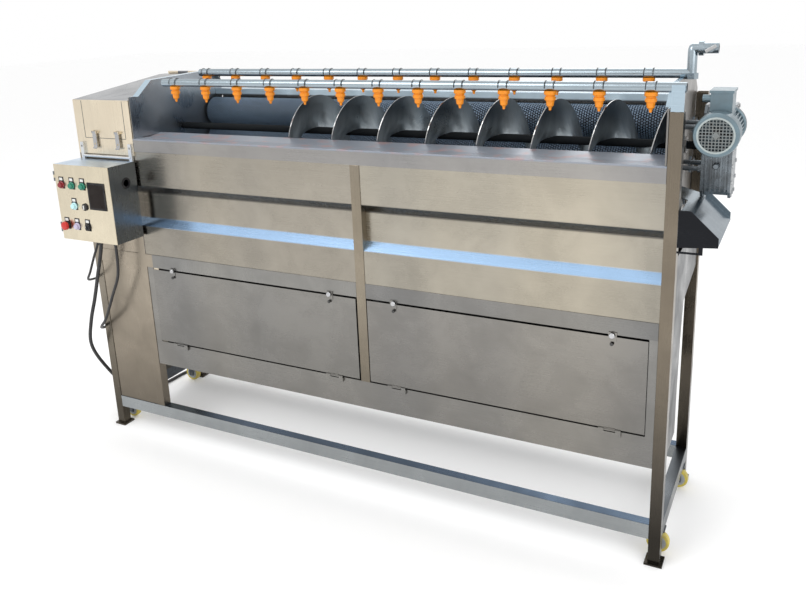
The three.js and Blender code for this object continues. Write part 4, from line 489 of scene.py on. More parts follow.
# Painted light on the rear top rail: its faces towards the front are painted dark as shade, with a
# pale blue strip along their top as a painted reflection, and its upward faces are painted pale
# blue as a sky reflection.
rail_shade_steel = steel("wet rail steel", (0.06, 0.068, 0.075), (0.09, 0.095, 0.1), 0.32, "x", 0.2)
recoloured(rail_shade_steel, "Z", 1.444, 1.449, (0.5, 0.62, 0.7))
sky_reflection_steel = steel("clean rail steel", (0.5, 0.64, 0.74), (0.46, 0.55, 0.62), 0.22)
rear = eased("rear_panel", rear_steel, 0.0006)
pick(rear, rail_shade_steel, lambda spot, way: way.y < -0.9 and spot.z > 1.43)
pick(rear, sky_reflection_steel, lambda spot, way: way.z > 0.7 and spot.z > 1.43)

# End plates: 5 mm hood-shaped plates that carry the rollers and the auger, each with a folded
# flange over its slope whose upward faces are painted pale blue as a sky reflection, and round
# flange bearings at the ends of rollers and auger.
plate_steel = steel("end plate steel", (0.25, 0.235, 0.215), (0.25, 0.25, 0.25), 0.3, "z", 0.16)
inner_steel = steel("inner plate steel", (0.4, 0.44, 0.48), (0.3, 0.32, 0.345), 0.3, "z", 0.2)
for node, way_in in (("left_end_plate", 1), ("right_end_plate", -1)):
    plate = eased(node, plate_steel, 0.0008)
    pick(plate, inner_steel, lambda spot, way: way.x * way_in > 0.9)
    # Painted sky reflection on the flange's upward faces.
    pick(plate, sky_reflection_steel, lambda spot, way: way.z > 0.3 and spot.z > 1.4)
roller_axes = [(500.9, 1371.4), (480.1, 1240.2), (383.0, 1149.6), (250.6, 1138.1), (139.2, 1210.4)]
auger_axis = (300, 1336)
bearing_cast = plastic("bearing casting", (0.1, 0.13, 0.16), 0.4, (0.2, 0.18, 0.15), 0.3, 260.0,
                       0.3)
work = bmesh.new()
for x, way in ((308, -1), (2360, 1)):
    for axis in [*roller_axes, auger_axis]:
        bore = 14 if axis == auger_axis else 13.2
        lathe(work, [(0, 27.4), (way * 5, 27.4), (way * 8, 23.5), (way * 12.3, 21),
                     (way * 12.3, bore), (0, bore)], (x, *axis), "x", 32)
piece_from("flange_bearings", work, [bearing_cast], "cast_grey_paint")

# Five brush rollers in a trough round the auger: a plastic core on a steel shaft, drilled all
# over in staggered rows, with a tuft of stiff nylon stapled into each hole.


def mesh_group(name, **inputs):
    """A geometry node group with named inputs and a finish."""
    sockets = {"Geometry": "Geometry", **inputs, "Finish": "Material"}
    return node_group(name, "GeometryNodeTree", sockets, {"Geometry": "Geometry"})


def unit_grid(columns, rows):
    """A grid one metre square: its node, and the X and Y shares of its points."""
    grid = fed("GeometryNodeMeshGrid", {
        "Size X": 1.0, "Size Y": 1.0, "Vertices X": columns, "Vertices Y": rows})
    return grid.outputs["Mesh"], split(grid.outputs["UV Map"])


def set_on(points, way, pattern):
    """Copies of a pattern on points, the Z of each turned to its point's own way."""
    turn = fed("FunctionNodeAlignRotationToVector", {"Vector": way}, axis="Z")
    return fed("GeometryNodeInstanceOnPoints", {
        "Points": points, "Instance": pattern, "Rotation": turn.outputs[0]}).outputs[0]


def given_out(given, result, shape):
    """Realizes the copies, sets the finish on the result and puts it out."""
    real = fed("GeometryNodeRealizeInstances", {"Geometry": shape})
    named = fed("GeometryNodeSetMaterial", {
        "Geometry": real.outputs[0], "Material": given["Finish"]})
    wire(result, {"Geometry": named.outputs[0]})
    return result.id_data


def plain_mesh(piece):
    """Turns a piece's modifiers into its own mesh."""
    graph = bpy.context.evaluated_depsgraph_get()
    piece.data = bpy.data.meshes.new_from_object(piece.evaluated_get(graph), depsgraph=graph)
    piece.data.name = piece.name
    piece.modifiers.clear()


def grown(name, tree, values, places=None):
    """Runs a geometry tree and keeps its result as a plain mesh object."""
    mesh = bpy.data.meshes.new(name)
    if places:
        mesh.from_pydata([spot for spot, way in places], [], [])
        way_map = mesh.attributes.new("way", "FLOAT_VECTOR", "POINT")
        for index, (spot, way) in enumerate(places):
            way_map.data[index].vector = way
    piece = show_plain(bpy.data.objects.new(name, mesh))
    modifier = piece.modifiers.new("form", "NODES")
    modifier.node_group = tree
    for item in tree.interface.items_tree:
        if item.in_out == "INPUT" and item.name in values:
            modifier[item.identifier] = values[item.name]
    plain_mesh(piece)
    return piece


def brush_tree():
    """Staggered rows of tapered tufts standing out of a core along X."""
    given, result = mesh_group(
        "brush rows", Rows="Int", Tufts="Int", Length="Float", Core="Float", Tuft="Float",
        Width="Float", Centre="Vector")
    grid, share = unit_grid(given["Rows"], given["Tufts"])
    row, column = (
        maths("ROUND", maths("MULTIPLY", share[axis], maths("SUBTRACT", given[count], 1.0)))
        for axis, count in (("X", "Rows"), ("Y", "Tufts")))
    stagger = maths("MULTIPLY", maths("MODULO", row, 2.0), 0.5)
    turn = maths("DIVIDE", maths("ADD", column, stagger), given["Tufts"])
    angle = maths("MULTIPLY", turn, 2 * pi)
    out = vector_of(Y=maths("COSINE", angle), Z=maths("SINE", angle))
    along = vector_of(X=maths("MULTIPLY", share["X"], given["Length"]))
    spot = vectors("ADD", vectors("SCALE", out, given["Core"]), along)
    spot = vectors("ADD", spot, given["Centre"])
    kept = fed("GeometryNodeCaptureAttribute", {"Geometry": grid})
    kept.capture_items.new("VECTOR", "out")
    wire(kept, {1: out})
    moved = fed("GeometryNodeSetPosition", {"Geometry": kept.outputs[0], "Position": spot})
    tuft = fed("GeometryNodeMeshCone", {
        "Vertices": 5, "Radius Top": given["Width"],
        "Radius Bottom": maths("MULTIPLY", given["Width"], 0.5), "Depth": given["Tuft"]})
    height = split(put(result.id_data, "GeometryNodeInputPosition").outputs[0])["Z"]
    marked = fed("GeometryNodeStoreNamedAttribute", {
        "Geometry": tuft.outputs["Mesh"], "Name": "tip"}, data_type="FLOAT", domain="POINT")
    value = next(socket for socket in marked.inputs if socket.name == "Value" and socket.enabled)
    result.id_data.links.new(maths("DIVIDE", height, given["Tuft"]), value)
    tufts = set_on(moved.outputs[0], kept.outputs[1], marked.outputs[0])
    return given_out(given, result, tufts)


def nylon_material():
    """Stiff nylon: blue-black at the root and painted pale blue at the tips as a sky reflection, no
    two tufts alike.
    """
    material, shader, place = blank_material("brush nylon")
    tip = put(shader.id_data, "ShaderNodeAttribute", attribute_name="tip").outputs["Fac"]
    spread = noise(place, 120.0, 2.0)
    # Painted reflection: the tips turn pale blue.
    mixed = maths("MULTIPLY", ranged(tip, 0.55, 1.0, 0.0, 0.9), spread)
    colour = blend(mixed, (0.03, 0.038, 0.048, 1), (0.3, 0.43, 0.6, 1))
    rough = ranged(spread, to_low=0.35, to_high=0.6)
    wire(shader, {"Base Color": colour, "Roughness": rough})
    return material


def tube(work, rings, finish=0):
    """A body through rings of vertices, with a flat face at each end."""
    skin(work, rings, finish)
    work.faces.new(rings[0][::-1]).material_index = finish
    work.faces.new(rings[-1]).material_index = finish


def toothed(teeth, steps, across, up):
    """A toothed outline about a centre, each tooth through steps of (share of pitch, radius)."""
    return [(across + radius * cos(turn), up + radius * sin(turn))
            for tooth in range(teeth) for share, radius in steps
            for turn in [2 * pi * (tooth + share) / teeth]]


def sprocket(work, y, z, finish=0):
    """A sprocket plate with twelve pointed, flattened teeth."""
    outline = toothed(12, ((-0.26, 31), (-0.1, 37), (0.1, 37), (0.26, 31)), y, z)
    tube(work, [ring_of(work, [(x, *spot) for spot in outline]) for x in (263, 271)], finish)


brush_rows = brush_tree()
brush_nylon = nylon_material()
core_plastic = plastic("roller core", (0.03, 0.037, 0.045), 0.5)
shaft_steel = steel("shaft steel", (0.42, 0.42, 0.42), (0.36, 0.35, 0.33), 0.24)
oiled_steel = steel("oiled steel", (0.13, 0.12, 0.11), (0.2, 0.17, 0.14), 0.33, "x", 0.25)
for number, (y, z) in enumerate(roller_axes, 1):
    body = f"brush_roller_{number}"
    axis = (0, y, z)
    work = bmesh.new()
    lathe(work, [(322, 0), (322, 44), (324, 46), (2340, 46), (2342, 44), (2342, 0)], axis, "x", 40)
    lathe(work, [(264, 0), (264, 11.4), (264.6, 12), (2373.4, 12), (2374, 11.4), (2374, 0)], axis,
          "x", 28, 1)
    sprocket(work, y, z, 2)
    lathe(work, [(262.9, 12.4), (262.9, 20), (260.5, 22), (272.4, 22), (272.4, 12.4)], axis, "x",
          24, 2)
    piece_from(f"roller_core_{number}", work, [core_plastic, shaft_steel, oiled_steel],
               "nylon_brush", body, body=body, smooth=40)
    brush = grown(f"roller_brush_{number}", brush_rows, {
        "Rows": 228, "Tufts": 40, "Length": 2.008, "Core": 0.045, "Tuft": 0.017, "Width": 0.0039,
        "Centre": at(328, y, z), "Finish": brush_nylon})
    joined(brush, body, "nylon_brush")

# Auger: a steel tube with a welded helical flight that walks the potatoes to the outlet. The
# flight is cut from 3 mm sheet and pulled to pitch; its rim is worn bright by the rollers.


def flight_tree():
    """A helical sheet from an inner to an outer radius, wound along X."""
    given, result = mesh_group(
        "helical flight", Steps="Int", Turns="Float", Pitch="Float", Phase="Float", Inner="Float",
        Outer="Float", Start="Vector")
    grid, share = unit_grid(given["Steps"], 5)
    turn = maths("MULTIPLY", share["X"], given["Turns"])
    angle = maths("MULTIPLY", maths("SUBTRACT", given["Phase"], turn), 2 * pi)
    radius = ranged(share["Y"], to_low=given["Inner"], to_high=given["Outer"])
    across = maths("MULTIPLY", radius, maths("SINE", angle))
    spiral = vector_of(X=maths("MULTIPLY", turn, given["Pitch"]),
                       Y=maths("MULTIPLY", across, -1.0),
                       Z=maths("MULTIPLY", radius, maths("COSINE", angle)))
    spot = vectors("ADD", spiral, given["Start"])
    moved = fed("GeometryNodeSetPosition", {"Geometry": grid, "Position": spot})
    return given_out(given, result, moved.outputs[0])


flight_steel = steel("flight steel", (0.22, 0.25, 0.265), (0.13, 0.15, 0.165), 0.34, "z", 0.2)
finish, place, shader = inside(flight_steel)
low = ranged(split(place)["Z"], 1.44, 1.33)
washed = maths("MULTIPLY", low, noise(stretched(place, (40, 40, 5)), 1.0, 3.0))
wire(shader, {
    "Base Color": blend(washed, finish.outputs["Colour"], (0.5, 0.56, 0.6, 1)),
    "Metallic": maths("SUBTRACT", 1.0, maths("MULTIPLY", washed, 0.9))})
flight_pitch, flight_end = 191, 2343
flight_start = 998 - flight_pitch / 2
flight = grown("auger_flight", flight_tree(), {
    "Steps": 420, "Turns": (flight_end - flight_start) / flight_pitch, "Pitch": flight_pitch / 1000,
    "Phase": 0.5, "Inner": 0.013, "Outer": 0.138, "Start": at(flight_start, *auger_axis),
    "Finish": flight_steel})
flight.data.materials.append(steel("flight rim steel", (0.5, 0.5, 0.5), (0.42, 0.41, 0.4), 0.2))
wall = flight.modifiers.new("sheet", "SOLIDIFY")
wall.thickness, wall.offset, wall.material_offset_rim = 0.003, 0.0, 1
plain_mesh(flight)
joined(flight, "auger", "auger_stainless", "auger")
work = bmesh.new()
lathe(work, [(288, 6), (288, 12.5), (322, 12.5), (322, 14), (flight_end, 14), (flight_end, 12.5),
             (2512, 12.5), (2512, 0), (2508, 0), (2508, 6)], (0, *auger_axis), "x", 40)
# Painted shade: the steel auger tube is given a near-black skin with little sheen.
shaft_shade_paint = plastic("shaft coating", (0.01, 0.012, 0.014), 0.8, amount=0.02, specular=0.1)
piece_from("auger_tube", work, [shaft_shade_paint], "auger_stainless", body="auger", smooth=40)

# Drive in the left housing: a geared motor on a shelf turns the top sprocket, and one roller
# chain runs round it and the five roller sprockets.


def places_tree():
    """Sets one pattern on every given place, its Z turned to the place's own way."""
    given, result = mesh_group("set on places", Pattern="Object")
    way = put(result.id_data, "GeometryNodeInputNamedAttribute", {"Name": "way"},
              data_type="FLOAT_VECTOR")
    pattern = fed("GeometryNodeObjectInfo", {"Object": given["Pattern"]})
    copies = set_on(given["Geometry"], way.outputs[0], pattern.outputs["Geometry"])
    return given_out(given, result, copies)


set_on_places = places_tree()


def repeated(name, pattern, places, material, slot, *nodes):
    """Copies a pattern, drawn round the origin with Z outwards, to places of (point, way)."""
    shape = mesh_from(name + "_pattern", pattern)
    model = show_plain(bpy.data.objects.new(name + "_pattern", shape))
    piece = grown(name, set_on_places, {"Pattern": model, "Finish": material}, places)
    bpy.data.objects.remove(model)
    smoothed(piece.data, 35)
    return joined(piece, "frame", slot, *nodes)


def chain_route(centres, radius):
    """Points round a loop of sprocket centres, in YZ millimetres."""
    outward = [math.atan2(next_z - z, next_y - y) - pi / 2
               for (y, z), (next_y, next_z) in zip(centres, [*centres[1:], centres[0]])]
    line = []
    for index, (y, z) in enumerate(centres):
        start, end = outward[index - 1], outward[index]
        while end < start:
            end += 2 * pi
        steps = max(2, math.ceil((end - start) / 0.08))
        for step in range(steps + 1):
            angle = start + (end - start) * step / steps
            line.append((y + radius * cos(angle), z + radius * sin(angle)))
    return [*line, line[0]]


def spaced(line, count):
    """Equally spaced points on a closed line, and the distance between them."""
    reach = [0.0]
    for start, end in zip(line, line[1:]):
        reach.append(reach[-1] + math.dist(start, end))
    spots, index = [], 0
    for number in range(count):
        want = reach[-1] * number / count
        while reach[index + 1] < want:
            index += 1
        share = (want - reach[index]) / max(reach[index + 1] - reach[index], 1e-9)
        (y0, z0), (y1, z1) = line[index], line[index + 1]
        spots.append((y0 + (y1 - y0) * share, z0 + (z1 - z0) * share))
    return spots, reach[-1] / count


def near(x, y, z):
    """A point in millimetres from a pattern's own origin, in metres."""
    return Vector((x, y, z)) / 1000


def slab(work, x0, x1, y0, y1, z0, z1, finish=0):
    """A block between six planes, in machine millimetres."""
    corners = (x0, y0), (x1, y0), (x1, y1), (x0, y1)
    tube(work, [ring_of(work, [(*corner, z) for corner in corners]) for z in (z0, z1)], finish)


gearmotor_axis = (270, 1420)
spots, link_pitch = spaced(chain_route([*reversed(roller_axes), gearmotor_axis], 42.3), 118)
half = link_pitch / 2
places = [(at(267, (y0 + y1) / 2, (z0 + z1) / 2), Vector((0, y1 - y0, z1 - z0)).normalized())
          for (y0, z0), (y1, z1) in zip(spots, [*spots[1:], spots[0]])]
cheek = [(3.9 * sin(turn), math.copysign(half, cos(turn)) + 3.9 * cos(turn))
         for turn in circle(16)]
for kind, first, offset, nodes in (("outer", 0, 4.4, ["drive_chain"]), ("inner", 1, 3.0, [])):
    pattern = bmesh.new()
    for side in (-1, 1):
        tube(pattern, [ring_of(pattern, [(side * x, *spot) for spot in cheek], near)
                       for x in (offset, offset + 1.1)])
    for end in (-half, half) if kind == "inner" else ():
        bush = [(2.6 * cos(turn), end + 2.6 * sin(turn)) for turn in circle(10)]
        tube(pattern, [ring_of(pattern, [(x, *spot) for spot in bush], near) for x in (-5.3, 5.3)])
    repeated(f"chain_{kind}_links", pattern, places[first::2], oiled_steel, "chain_steel", *nodes)
work = bmesh.new()
sprocket(work, *gearmotor_axis)
lathe(work, [(229.4, 0), (229.4, 9.4), (230, 10), (263, 10), (263, 21), (273, 21), (274, 19),
             (274, 0)], (0, *gearmotor_axis), "x", 32)
piece_from("drive_sprocket_wheel", work, [oiled_steel], "chain_steel", "drive_sprocket",
           body="drive_sprocket")
motor_paint = plastic("motor paint", (0.16, 0.225, 0.26), 0.3, (0.1, 0.1, 0.1), 0.35, 500.0, 0.18,
                      0.55)
gear_paint = plastic("gearbox paint", (0.21, 0.24, 0.265), 0.24, (0.06, 0.055, 0.05), 0.6, 240.0,
                     0.35, 0.7)
eased("roller_gearmotor", gear_paint, slot="cast_grey_paint")
work = bmesh.new()
ribs = [(70 + 8 * rib + step, radius) for rib in range(14)
        for step, radius in ((0, 57), (1.5, 60.6), (4, 60.6), (5.5, 57))]
lathe(work, [(51.9, 0), (51.9, 50), (58, 60.2), (66, 60.2), (66, 55), *ribs, (184, 57), (186, 60.4),
             (194, 60.4), (194, 0)], (0, *gearmotor_axis), "x")
piece_from("gearmotor_ribs", work, [motor_paint], "cast_grey_paint")

# Left housing and its lid: folded 2 mm sheet round the drive. The lid is the sloped top with a
# front flap, hinged at the back and pulled shut by two draw latches at the front.
housing_steel = steel("housing steel", (0.84, 0.73, 0.56), (0.7, 0.63, 0.51), 0.25, "z", 0.12)
lid_steel = steel("lid steel", (0.2, 0.215, 0.235), (0.24, 0.24, 0.245), 0.2, "x", 0.12)
eased("left_cabinet", housing_steel, 0.0006)
lid = eased("drive_lid", lid_steel, 0.0006, body="drive_lid")
pick(lid, housing_steel, lambda spot, way: spot.y < -0.2)
# Painted seam shadow: thin dark strips along the flap's sides and bottom edge stand in for the
# shade in its seams.
work = bmesh.new()
for x in (47.6, 272.4):
    slab(work, x - 1.1, x + 1.1, -0.35, 0.5, 1321, 1471)
slab(work, 47, 273, -0.35, 0.5, 1318.6, 1320.6)
piece_from("flap_gasket", work, [core_plastic], "control_black", smooth=None)
for node in ("lid_latch_left", "lid_latch_right"):
    eased(node, bright_steel, 0.0005, "bright_stainless", node)

# Control box: a folded stainless box hung on two slotted ears from a bar, with a hinged door.
# A cable hole is cut in its right side. The door carries five push buttons, a knob, a stop
# button and a selector in three rows, and a dark display.
box_steel = steel("box steel", (0.16, 0.185, 0.21), (0.21, 0.225, 0.235), 0.28, "z", 0.12)
box_door_steel = steel("box door steel", (0.74, 0.66, 0.5), (0.66, 0.59, 0.46), 0.27, "z", 0.12)
# Painted sky reflection: the box's upward top face is painted pale blue.
box_top_reflection_steel = steel("box top steel", (0.62, 0.72, 0.83), (0.56, 0.66, 0.77), 0.3, "x", 0.12)
ear_steel = steel("box ear steel", (0.72, 0.75, 0.79), (0.66, 0.67, 0.68), 0.24, "x", 0.12)
box = eased("control_box", box_steel, 0.001)
ear_foot = 1.2345
pick(box, ear_steel, lambda spot, way: spot.z > ear_foot)
pick(box, box_top_reflection_steel, lambda spot, way: way.z > 0.9 and 1.229 < spot.z < ear_foot)
rubber_black = plastic("black rubber", (0.012, 0.012, 0.014), 0.5, specular=0.2)
white_label = plastic("white plate", (0.7, 0.7, 0.68), 0.4)
display_glass = plastic("display glass", (0.012, 0.008, 0.007), 0.3, amount=0.02, specular=0.12)
eased("control_box_door", box_door_steel, 0.0008, body="control_box_door")
left, centre, right = 45, 102, 161
top, middle, bottom = 1151, 1067, 983
controls = {
    "start_button_red": (left, top), "start_button_green_left": (centre, top),
    "start_button_green_right": (right, top), "pump_button": (centre, middle),
    "speed_knob": (right, middle), "emergency_stop": (left, bottom),
    "power_button": (centre, bottom), "mode_selector": (right, bottom)}
bezel = [(-151.1, 10.7), (-151.1, 15), (-154.5, 15), (-156.4, 13), (-156.4, 10.7)]
nut = [(-144.7, 0), (-144.7, 13), (-147.7, 13)]
work = bmesh.new()
for name, (x, z) in controls.items():
    if name in ("speed_knob", "mode_selector", "emergency_stop"):
        lathe(work, bezel, (x, 0, z), "y", 36)
    if name != "speed_knob":
        slab(work, x - 13, x + 13, -151.2, -150, z + 12, z + 33)
        slab(work, x - 15.5, x + 15.5, -151.05, -150, z - 15.5, z + 15.5)
        slab(work, x - 8.5, x + 8.5, -151.9, -151.1, z + 18.5, z + 29, 1)
slab(work, 188, 281, -152.2, -150, 1059, 1169)
slab(work, 196, 273, -152.6, -151, 1067, 1161, 2)
piece_from("door_fittings", work, [rubber_black, white_label, display_glass], "control_black",
           body="control_box_door")
work = bmesh.new()
lathe(work, [(309.6, 14), (309.6, 20.4), (311.8, 22.5), (312.4, 20), (312.4, 14)], (0, -66, 1157),
      "x", 32)
piece_from("cable_grommet", work, [rubber_black], "control_black")
green = ("button green", (0.015, 0.2, 0.13), "button_green")
for name, (finish, colour, slot) in {
        "start_button_red": ("button red", (0.22, 0.008, 0.018), "button_red"),
        "start_button_green_left": green, "start_button_green_right": green,
        "pump_button": ("clear lens", (0.5, 0.78, 0.82), "button_clear"),
        "power_button": ("lilac lens", (0.5, 0.46, 0.6), "button_lilac")}.items():
    x, z = controls[name]
    material = bpy.data.materials.get(finish) or plastic(finish, colour, 0.16, amount=0.05)
    work = bmesh.new()
    lathe(work, [(-147.7, 0), (-147.7, 10.4), (-162.5, 10.4), (-164.4, 9), (-164.4, 7.5),
                 (-163.6, 6.5), (-163.6, 0)], (x, 0, z), "y", 36)
    lathe(work, [*nut, (-147.7, 0)], (x, 0, z), "y", 24)
    piece_from(name + "_cap", work, [material], slot, name, body=name)
    work = bmesh.new()
    lathe(work, bezel, (x, 0, z), "y", 36)
    piece_from(name + "_bezel", work, [material], slot, body="control_box_door")
stop_red = plastic("stop red", (0.5, 0.02, 0.015), 0.22, amount=0.05)
x, z = controls["emergency_stop"]
work = bmesh.new()
lathe(work, [*nut, (-147.7, 10.4), (-160.5, 10.4), (-160.5, 16.5), (-161.5, 17.8), (-166, 18),
             (-171, 16.5), (-173.6, 12), (-174.4, 0)], (x, 0, z), "y", 40)
piece_from("emergency_stop_head", work, [stop_red], "stop_red", "emergency_stop",
           body="emergency_stop")
knob_black = plastic("knob black", (0.02, 0.02, 0.024), 0.35)
for name, grip, finish in (("speed_knob", 3, 1), ("mode_selector", 6, 0)):
    x, z = controls[name]
    work = bmesh.new()
    lathe(work, [*nut, (-147.7, 10.4), (-157, 10.4), (-158.4, 9), (-158.4, 0)], (x, 0, z), "y", 36)
    slab(work, x - 2.4, x + 2.4, -158.2 - grip, -157.6, z - 8, z + 8, finish)
    slab(work, x - 0.7, x + 0.7, -158.4 - grip, -158.1 - grip, z + 1, z + 7.6, 1)
    piece_from(name + "_grip", work, [knob_black, white_label], "control_black", name, body=name)

# Auger drive on the right end: a cast worm gearbox on the auger's journal with a finned
# aluminium motor lying across the machine, and a pale steel cowl with a grille over its fan.
eased("auger_gearbox", gear_paint, 0.0015, "cast_grey_paint")
motor_x, motor_z = 2486, 1414
motor = (motor_x, 0, motor_z)
work = bmesh.new()
lathe(work, [(225.6, 17), (225.6, 60.3), (228, 61), (235, 61), (238, 58), (243, 52), (243, 17)],
      motor, "y")
lathe(work, [(218, 0), (218, 7), (221, 9), (237, 9.6), (237, 0)], (2469, 0, 1286), "y", 24)
for y in (250, 350):
    for z in (1272, 1400):
        lathe(work, [(2361, 0), (2361, 7.6), (2426, 7.6), (2426, 0)], (0, y, z), "x", 24)
piece_from("gearbox_collars", work, [gear_paint], "cast_grey_paint")
bolt = bmesh.new()
tube(bolt, [ring_of(bolt, [(6.4 * cos(turn), 6.4 * sin(turn), z) for turn in circle(6)],
                    near) for z in (-1, 4.2)])
flange_turns = [turn + pi / 8 for turn in circle(8)]
places = [(at(motor_x + 50 * cos(turn), 225.6, motor_z + 50 * sin(turn)), (0, -1, 0))
          for turn in flange_turns]
cover_spots = [(y, z) for y in (258, 300, 342) for z in (1193, 1458)]
cover_spots += [(y, z) for z in (1235, 1285, 1335, 1385, 1435) for y in (246, 354)]
places += [(at(2512.4, *spot), (1, 0, 0)) for spot in cover_spots]
repeated("gearbox_bolts", bolt, places, zinc, "zinc_plate")
fins = toothed(32, ((-0.3, 50), (-0.16, 56), (0.16, 56), (0.3, 50)), motor_x, motor_z)
work = bmesh.new()
tube(work, [ring_of(work, [(x, y, z) for x, z in fins]) for y in (76, 218)])
lathe(work, [(66.2, 8.4), (66.2, 58), (76, 58), (79, 55), (79, 8.4)], motor, "y")
lathe(work, [(214, 0), (214, 56), (217, 60), (225, 60), (225, 0)], motor, "y")
slab(work, 2458, 2517, 80, 176, 1441, 1522)
slab(work, 2455, 2520, 77, 179, 1522.4, 1530)
lathe(work, [(2436, 6), (2436, 10.6), (2440, 11), (2460, 11), (2460, 6)], (0, 94, 1506), "x", 24)
piece_from("motor_casting", work, [motor_paint], "cast_grey_paint", "auger_motor")
cowl_paint, grille_wire = (
    plastic(name, colour, 0.4, (0.2, 0.18, 0.14), 0.3, 500.0, 0.15)
    for name, colour in (("cowl paint", (0.36, 0.41, 0.41)), ("grille wire", (0.15, 0.17, 0.175))))
work = bmesh.new()
lathe(work, [(5, 46), (5, 51), (7, 51), (7, 46)], motor, "y", 56)
lathe(work, [(5.4, 51), (5.4, 55), (6.6, 59), (10, 61.4), (14, 61.98), (75, 61.98), (75, 58.6),
             (14, 58.6), (9, 56), (7.4, 53), (7.4, 51)], motor, "y", 56, 1)
wire_pitch, thin, grille_radius = 8.9, 1.3, 49
for step in range(-5, 6):
    offset = step * wire_pitch
    half = math.sqrt(grille_radius ** 2 - offset ** 2)
    level, upright = motor_z + offset, motor_x + offset
    slab(work, motor_x - half, motor_x + half, 5.2, 6.6, level - thin, level + thin, 2)
    slab(work, upright - thin, upright + thin, 5.4, 6.8, motor_z - half, motor_z + half, 2)
lathe(work, [(4.2, 0), (4.2, 6), (5, 8), (7, 8), (7, 0)], motor, "y", 24, 2)
piece_from("cowl_shell", work, [cowl_paint, motor_paint, grille_wire], "cowl_paint", "fan_cowl",
           smooth=30)
coat("motor_fan", plastic("fan plastic", (0.03, 0.03, 0.035), 0.5))

# Discharge chute: a bent floor between two cheeks of 2 mm sheet, bolted under the outlet, with
# a strut below. The cheeks are painted near black as shade, and the floor is painted lighter and
# bluish as a painted reflection.
chute_cheek_shade_steel = steel("chute cheek steel", (0.018, 0.019, 0.022), (0.024, 0.025, 0.028), 0.3, "x",
                    0.16)
chute_floor_reflection_steel = steel("chute floor steel", (0.2, 0.25, 0.29), (0.24, 0.28, 0.31), 0.2)
chute = eased("discharge_chute", chute_cheek_shade_steel, 0.0006, "bright_stainless")
pick(chute, chute_floor_reflection_steel, lambda spot, way: way.z > 0.4 or (way.y < -0.9 and spot.y > 0.05))

# Two spray pipes of half-inch stainless tube over the trough, each with thirteen clip-on orange
# nozzles held by a bright saddle and two spring wires. The rear pipe ends in a riser with a
# union and a ball valve at the water inlet.
pipe_steel = steel("pipe steel", (0.38, 0.44, 0.48), (0.32, 0.38, 0.42), 0.24)
nozzle_orange = plastic("nozzle orange", (0.78, 0.25, 0.005), 0.34, (0.4, 0.14, 0.01), 0.3)
front_axis, rear_axis = (20, 1544), (270, 1561)
riser_x, valve_height = 2378, 1635.5


def pipe_run(start, end, axis):
    """The level tube of a spray pipe, closed at its far end, as the beginning of a piece."""
    work, inner = bmesh.new(), start + 2
    lathe(work, [(start, 0), (start, 12), (inner, 14.5), (end, 14.5), (end, 12.5), (inner, 12.5),
                 (inner, 0)], (0, *axis), "x", 36)
    return work


work = pipe_run(485, 2402, front_axis)
# The end bracket is painted pale blue as a sky reflection.
slab(work, 2364, 2400, 0, 6, 1478, 1552, 1)
lathe(work, [(1477.3, 0), (1477.3, 15), (1489, 15), (1489, 0)], (2382, 15, 0), "z", 32)
piece_from("front_pipe", work, [pipe_steel, sky_reflection_steel], "bright_stainless", "front_spray_pipe")
work = pipe_run(455, riser_x, rear_axis)
lathe(work, [(1545, 0), (1545, 14.5), (1626, 14.5), (1634, 14), (1643, 11), (1649, 5), (1650, 0)],
      (riser_x, 270, 0), "z", 36)
lathe(work, [(1544.5, 14), (1544.5, 20), (1562.5, 20), (1562.5, 14)], (riser_x, 270, 0), "z", 6)
lathe(work, [(riser_x, 11), (riser_x, 14.5), (2396, 14.5), (2396, 22), (2410, 22), (2410, 17),
             (2414, 16), (2452, 16), (2452, 11)], (0, 270, valve_height), "x", 32)
lathe(work, [(246, 4.4), (246, 10), (262, 10.6), (262, 4.4)], (2432, 0, valve_height), "y", 24)
piece_from("rear_pipe", work, [pipe_steel], "bright_stainless", "rear_spray_pipe")
eased("valve_handle", zinc, 0.0008, "zinc_plate", "valve_handle")


def hoop(work, start, sweep, section):
    """A section of (x, radius) swept round under a pipe; the angles are in half turns."""
    angles = [pi * (start + sweep * step / 18) for step in range(19)]
    tube(work, [ring_of(work, [(x, radius * cos(angle), -radius * sin(angle))
                               for x, radius in section], near) for angle in angles])


nozzle_pitch = 147
places = [(at(start + nozzle_pitch * index, *axis), (0, 0, -1))
          for start, axis in ((542, front_axis), (488, rear_axis)) for index in range(13)]
pattern = bmesh.new()
lathe(pattern, [(13.5, 0), (13.5, 17.5), (15, 19), (24, 19), (26, 15), (30, 14), (31, 16.8),
                (41, 16.8), (42, 13), (46, 12.5), (58, 11), (59, 9), (63, 5), (71.6, 3.6),
                (71.6, 2), (66, 1.6), (66, 0)], (0, 0, 0), "z", 14, fit=near)
repeated("spray_nozzles", pattern, places, nozzle_orange, None)
pattern = bmesh.new()
for x in (-14, 14):
    hoop(pattern, -0.12, 1.24, [(x + 1.1 * sin(turn), 16.8 + 1.1 * cos(turn))
                                for turn in circle(6)])
wire_steel = steel("spring wire", (0.1, 0.1, 0.1), (0.06, 0.06, 0.06), 0.35)
repeated("nozzle_wires", pattern, places, wire_steel, "bright_stainless")
pattern = bmesh.new()
hoop(pattern, -0.08, 1.16, [(-11, 14.6), (11, 14.6), (11, 15.8), (-11, 15.8)])
repeated("nozzle_saddles", pattern, places, pipe_steel, "bright_stainless")

# Cables: two leave a gland strip under the control box and enter the frame behind it, and the
# mains lead goes round the left end to a small coil behind the machine, with a red industrial
# plug. Black rubber sheath, glands moulded from nylon.


